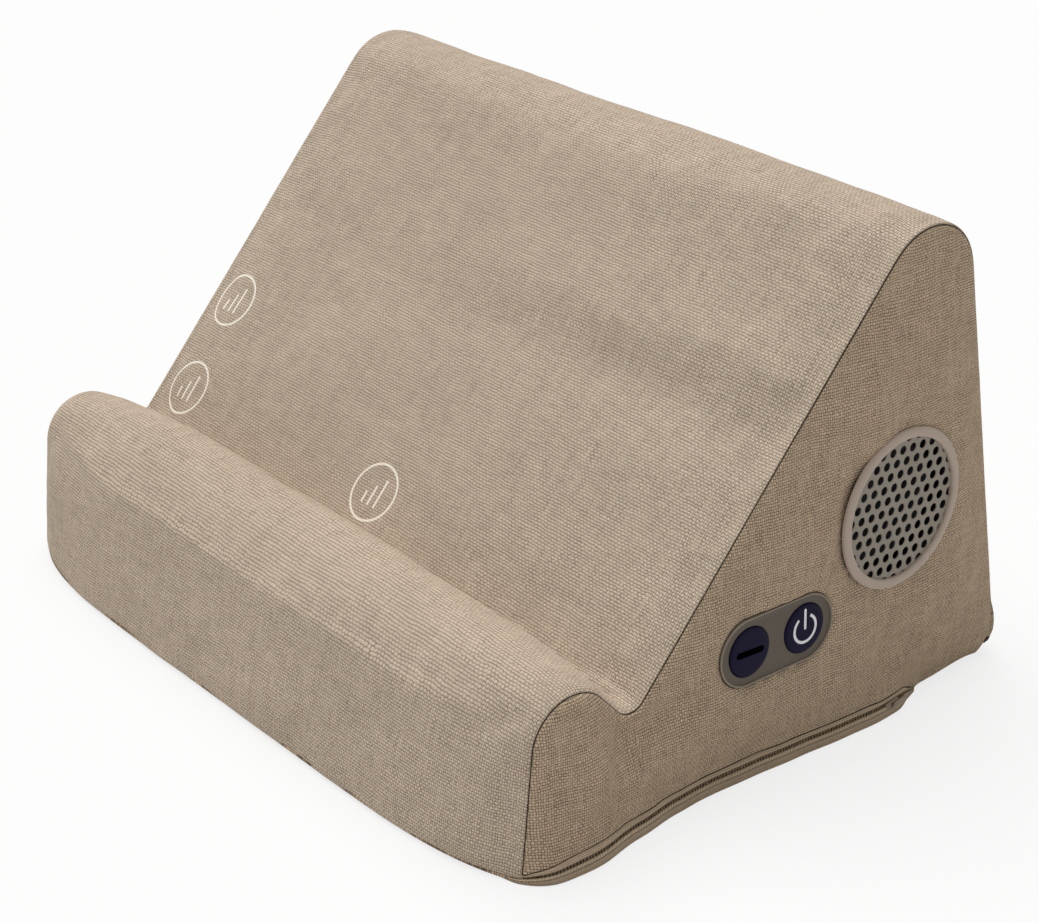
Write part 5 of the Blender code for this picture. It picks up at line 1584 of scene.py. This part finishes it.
class CUSHION_OT_inner_parts(bpy.types.Operator):
    """Give the loudspeaker, housings, switches and leads their finishes"""

    bl_idname = "cushion.inner_parts"
    bl_label = "Inner parts"

    def execute(self, context):
        screws = [f"basket_screw_{number}" for number in range(1, 5)] + ["board_screw_1", "board_screw_2"]
        finishes = {
            moulded_finish("black_plastic", (0.018, 0.018, 0.019), 0.5):
                ["speaker_housing", "grille_retainer", "control_housing", "mode_switch", "power_switch"],
            moulded_finish("black_rubber", (0.012, 0.012, 0.013), 0.75, grain=0.3 * MM):
                ["speaker_surround", "dust_cap"],
            metal_finish("zinc_steel", (0.60, 0.59, 0.57), 0.35): ["magnet_front_plate", "magnet_yoke", *screws],
            metal_finish("painted_steel", (0.05, 0.05, 0.052), 0.5): ["speaker_basket"],
            moulded_finish("ferrite", (0.035, 0.034, 0.036), 0.65, grain=0.8 * MM, depth=0.1 * MM):
                ["speaker_magnet"],
            fibre_finish("cone_paper", (0.012, 0.012, 0.013)): ["speaker_cone"],
            wound_finish("spider_cloth", (0.45, 0.26, 0.07), (0.22, 0.12, 0.03), 1.6 * MM): ["speaker_spider"],
            wound_finish("copper_winding", (0.80, 0.38, 0.20), (0.15, 0.06, 0.03), 0.4 * MM, metallic=1.0):
                ["voice_coil"],
            board_finish("circuit_board"): ["control_board"],
            moulded_finish("battery_film", (0.03, 0.09, 0.28), 0.35, grain=2 * MM, depth=0.04 * MM):
                ["battery_cell"],
            moulded_finish("lead_sheath", (0.02, 0.02, 0.022), 0.55, grain=0.6 * MM):
                ["speaker_lead", "battery_lead"],
            moulded_finish("plunger_plastic", (0.55, 0.55, 0.53), 0.45): ["mode_plunger", "power_plunger"],
        }
        for finish, nodes in finishes.items():
            for name in nodes:
                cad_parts[name].material_slots[0].material = finish
        return {"FINISHED"}


class CUSHION_PT_panel(bpy.types.Panel):
    """Sidebar panel with the cushion's settings and steps."""

    bl_label = "Tablet Cushion Stand"
    bl_space_type = "VIEW_3D"
    bl_region_type = "UI"
    bl_category = "Cushion"

    def draw(self, context):
        layout = self.layout
        for group in ("cushion_fabric", "cushion_print", "cushion_hardware", "cushion_stage"):
            settings = getattr(context.scene, group)
            box = layout.box()
            for name in settings.bl_rna.properties.keys():
                if name not in ("rna_type", "name"):
                    box.prop(settings, name)
        for step in STEPS:
            layout.operator(step.bl_idname)


STEPS = (
    CUSHION_OT_stage, CUSHION_OT_covers, CUSHION_OT_zip, CUSHION_OT_grille, CUSHION_OT_controls,
    CUSHION_OT_inner_parts,
)
GROUPS = {
    "cushion_fabric": CushionFabric, "cushion_print": CushionPrint, "cushion_hardware": CushionHardware,
    "cushion_stage": CushionStage,
}


def register():
    for kind in (*GROUPS.values(), *STEPS, CUSHION_PT_panel):
        bpy.utils.register_class(kind)
    for name, kind in GROUPS.items():
        setattr(bpy.types.Scene, name, bpy.props.PointerProperty(type=kind))


def unregister():
    for name in GROUPS:
        delattr(bpy.types.Scene, name)
    for kind in (CUSHION_PT_panel, *reversed(STEPS), *GROUPS.values()):
        bpy.utils.unregister_class(kind)


def main():
    register()
    bpy.ops.cushion.stage()
    bpy.ops.cushion.covers()
    bpy.ops.cushion.zip()
    bpy.ops.cushion.grille()
    bpy.ops.cushion.controls()
    bpy.ops.cushion.inner_parts()


if __name__ == "__main__":
    main()
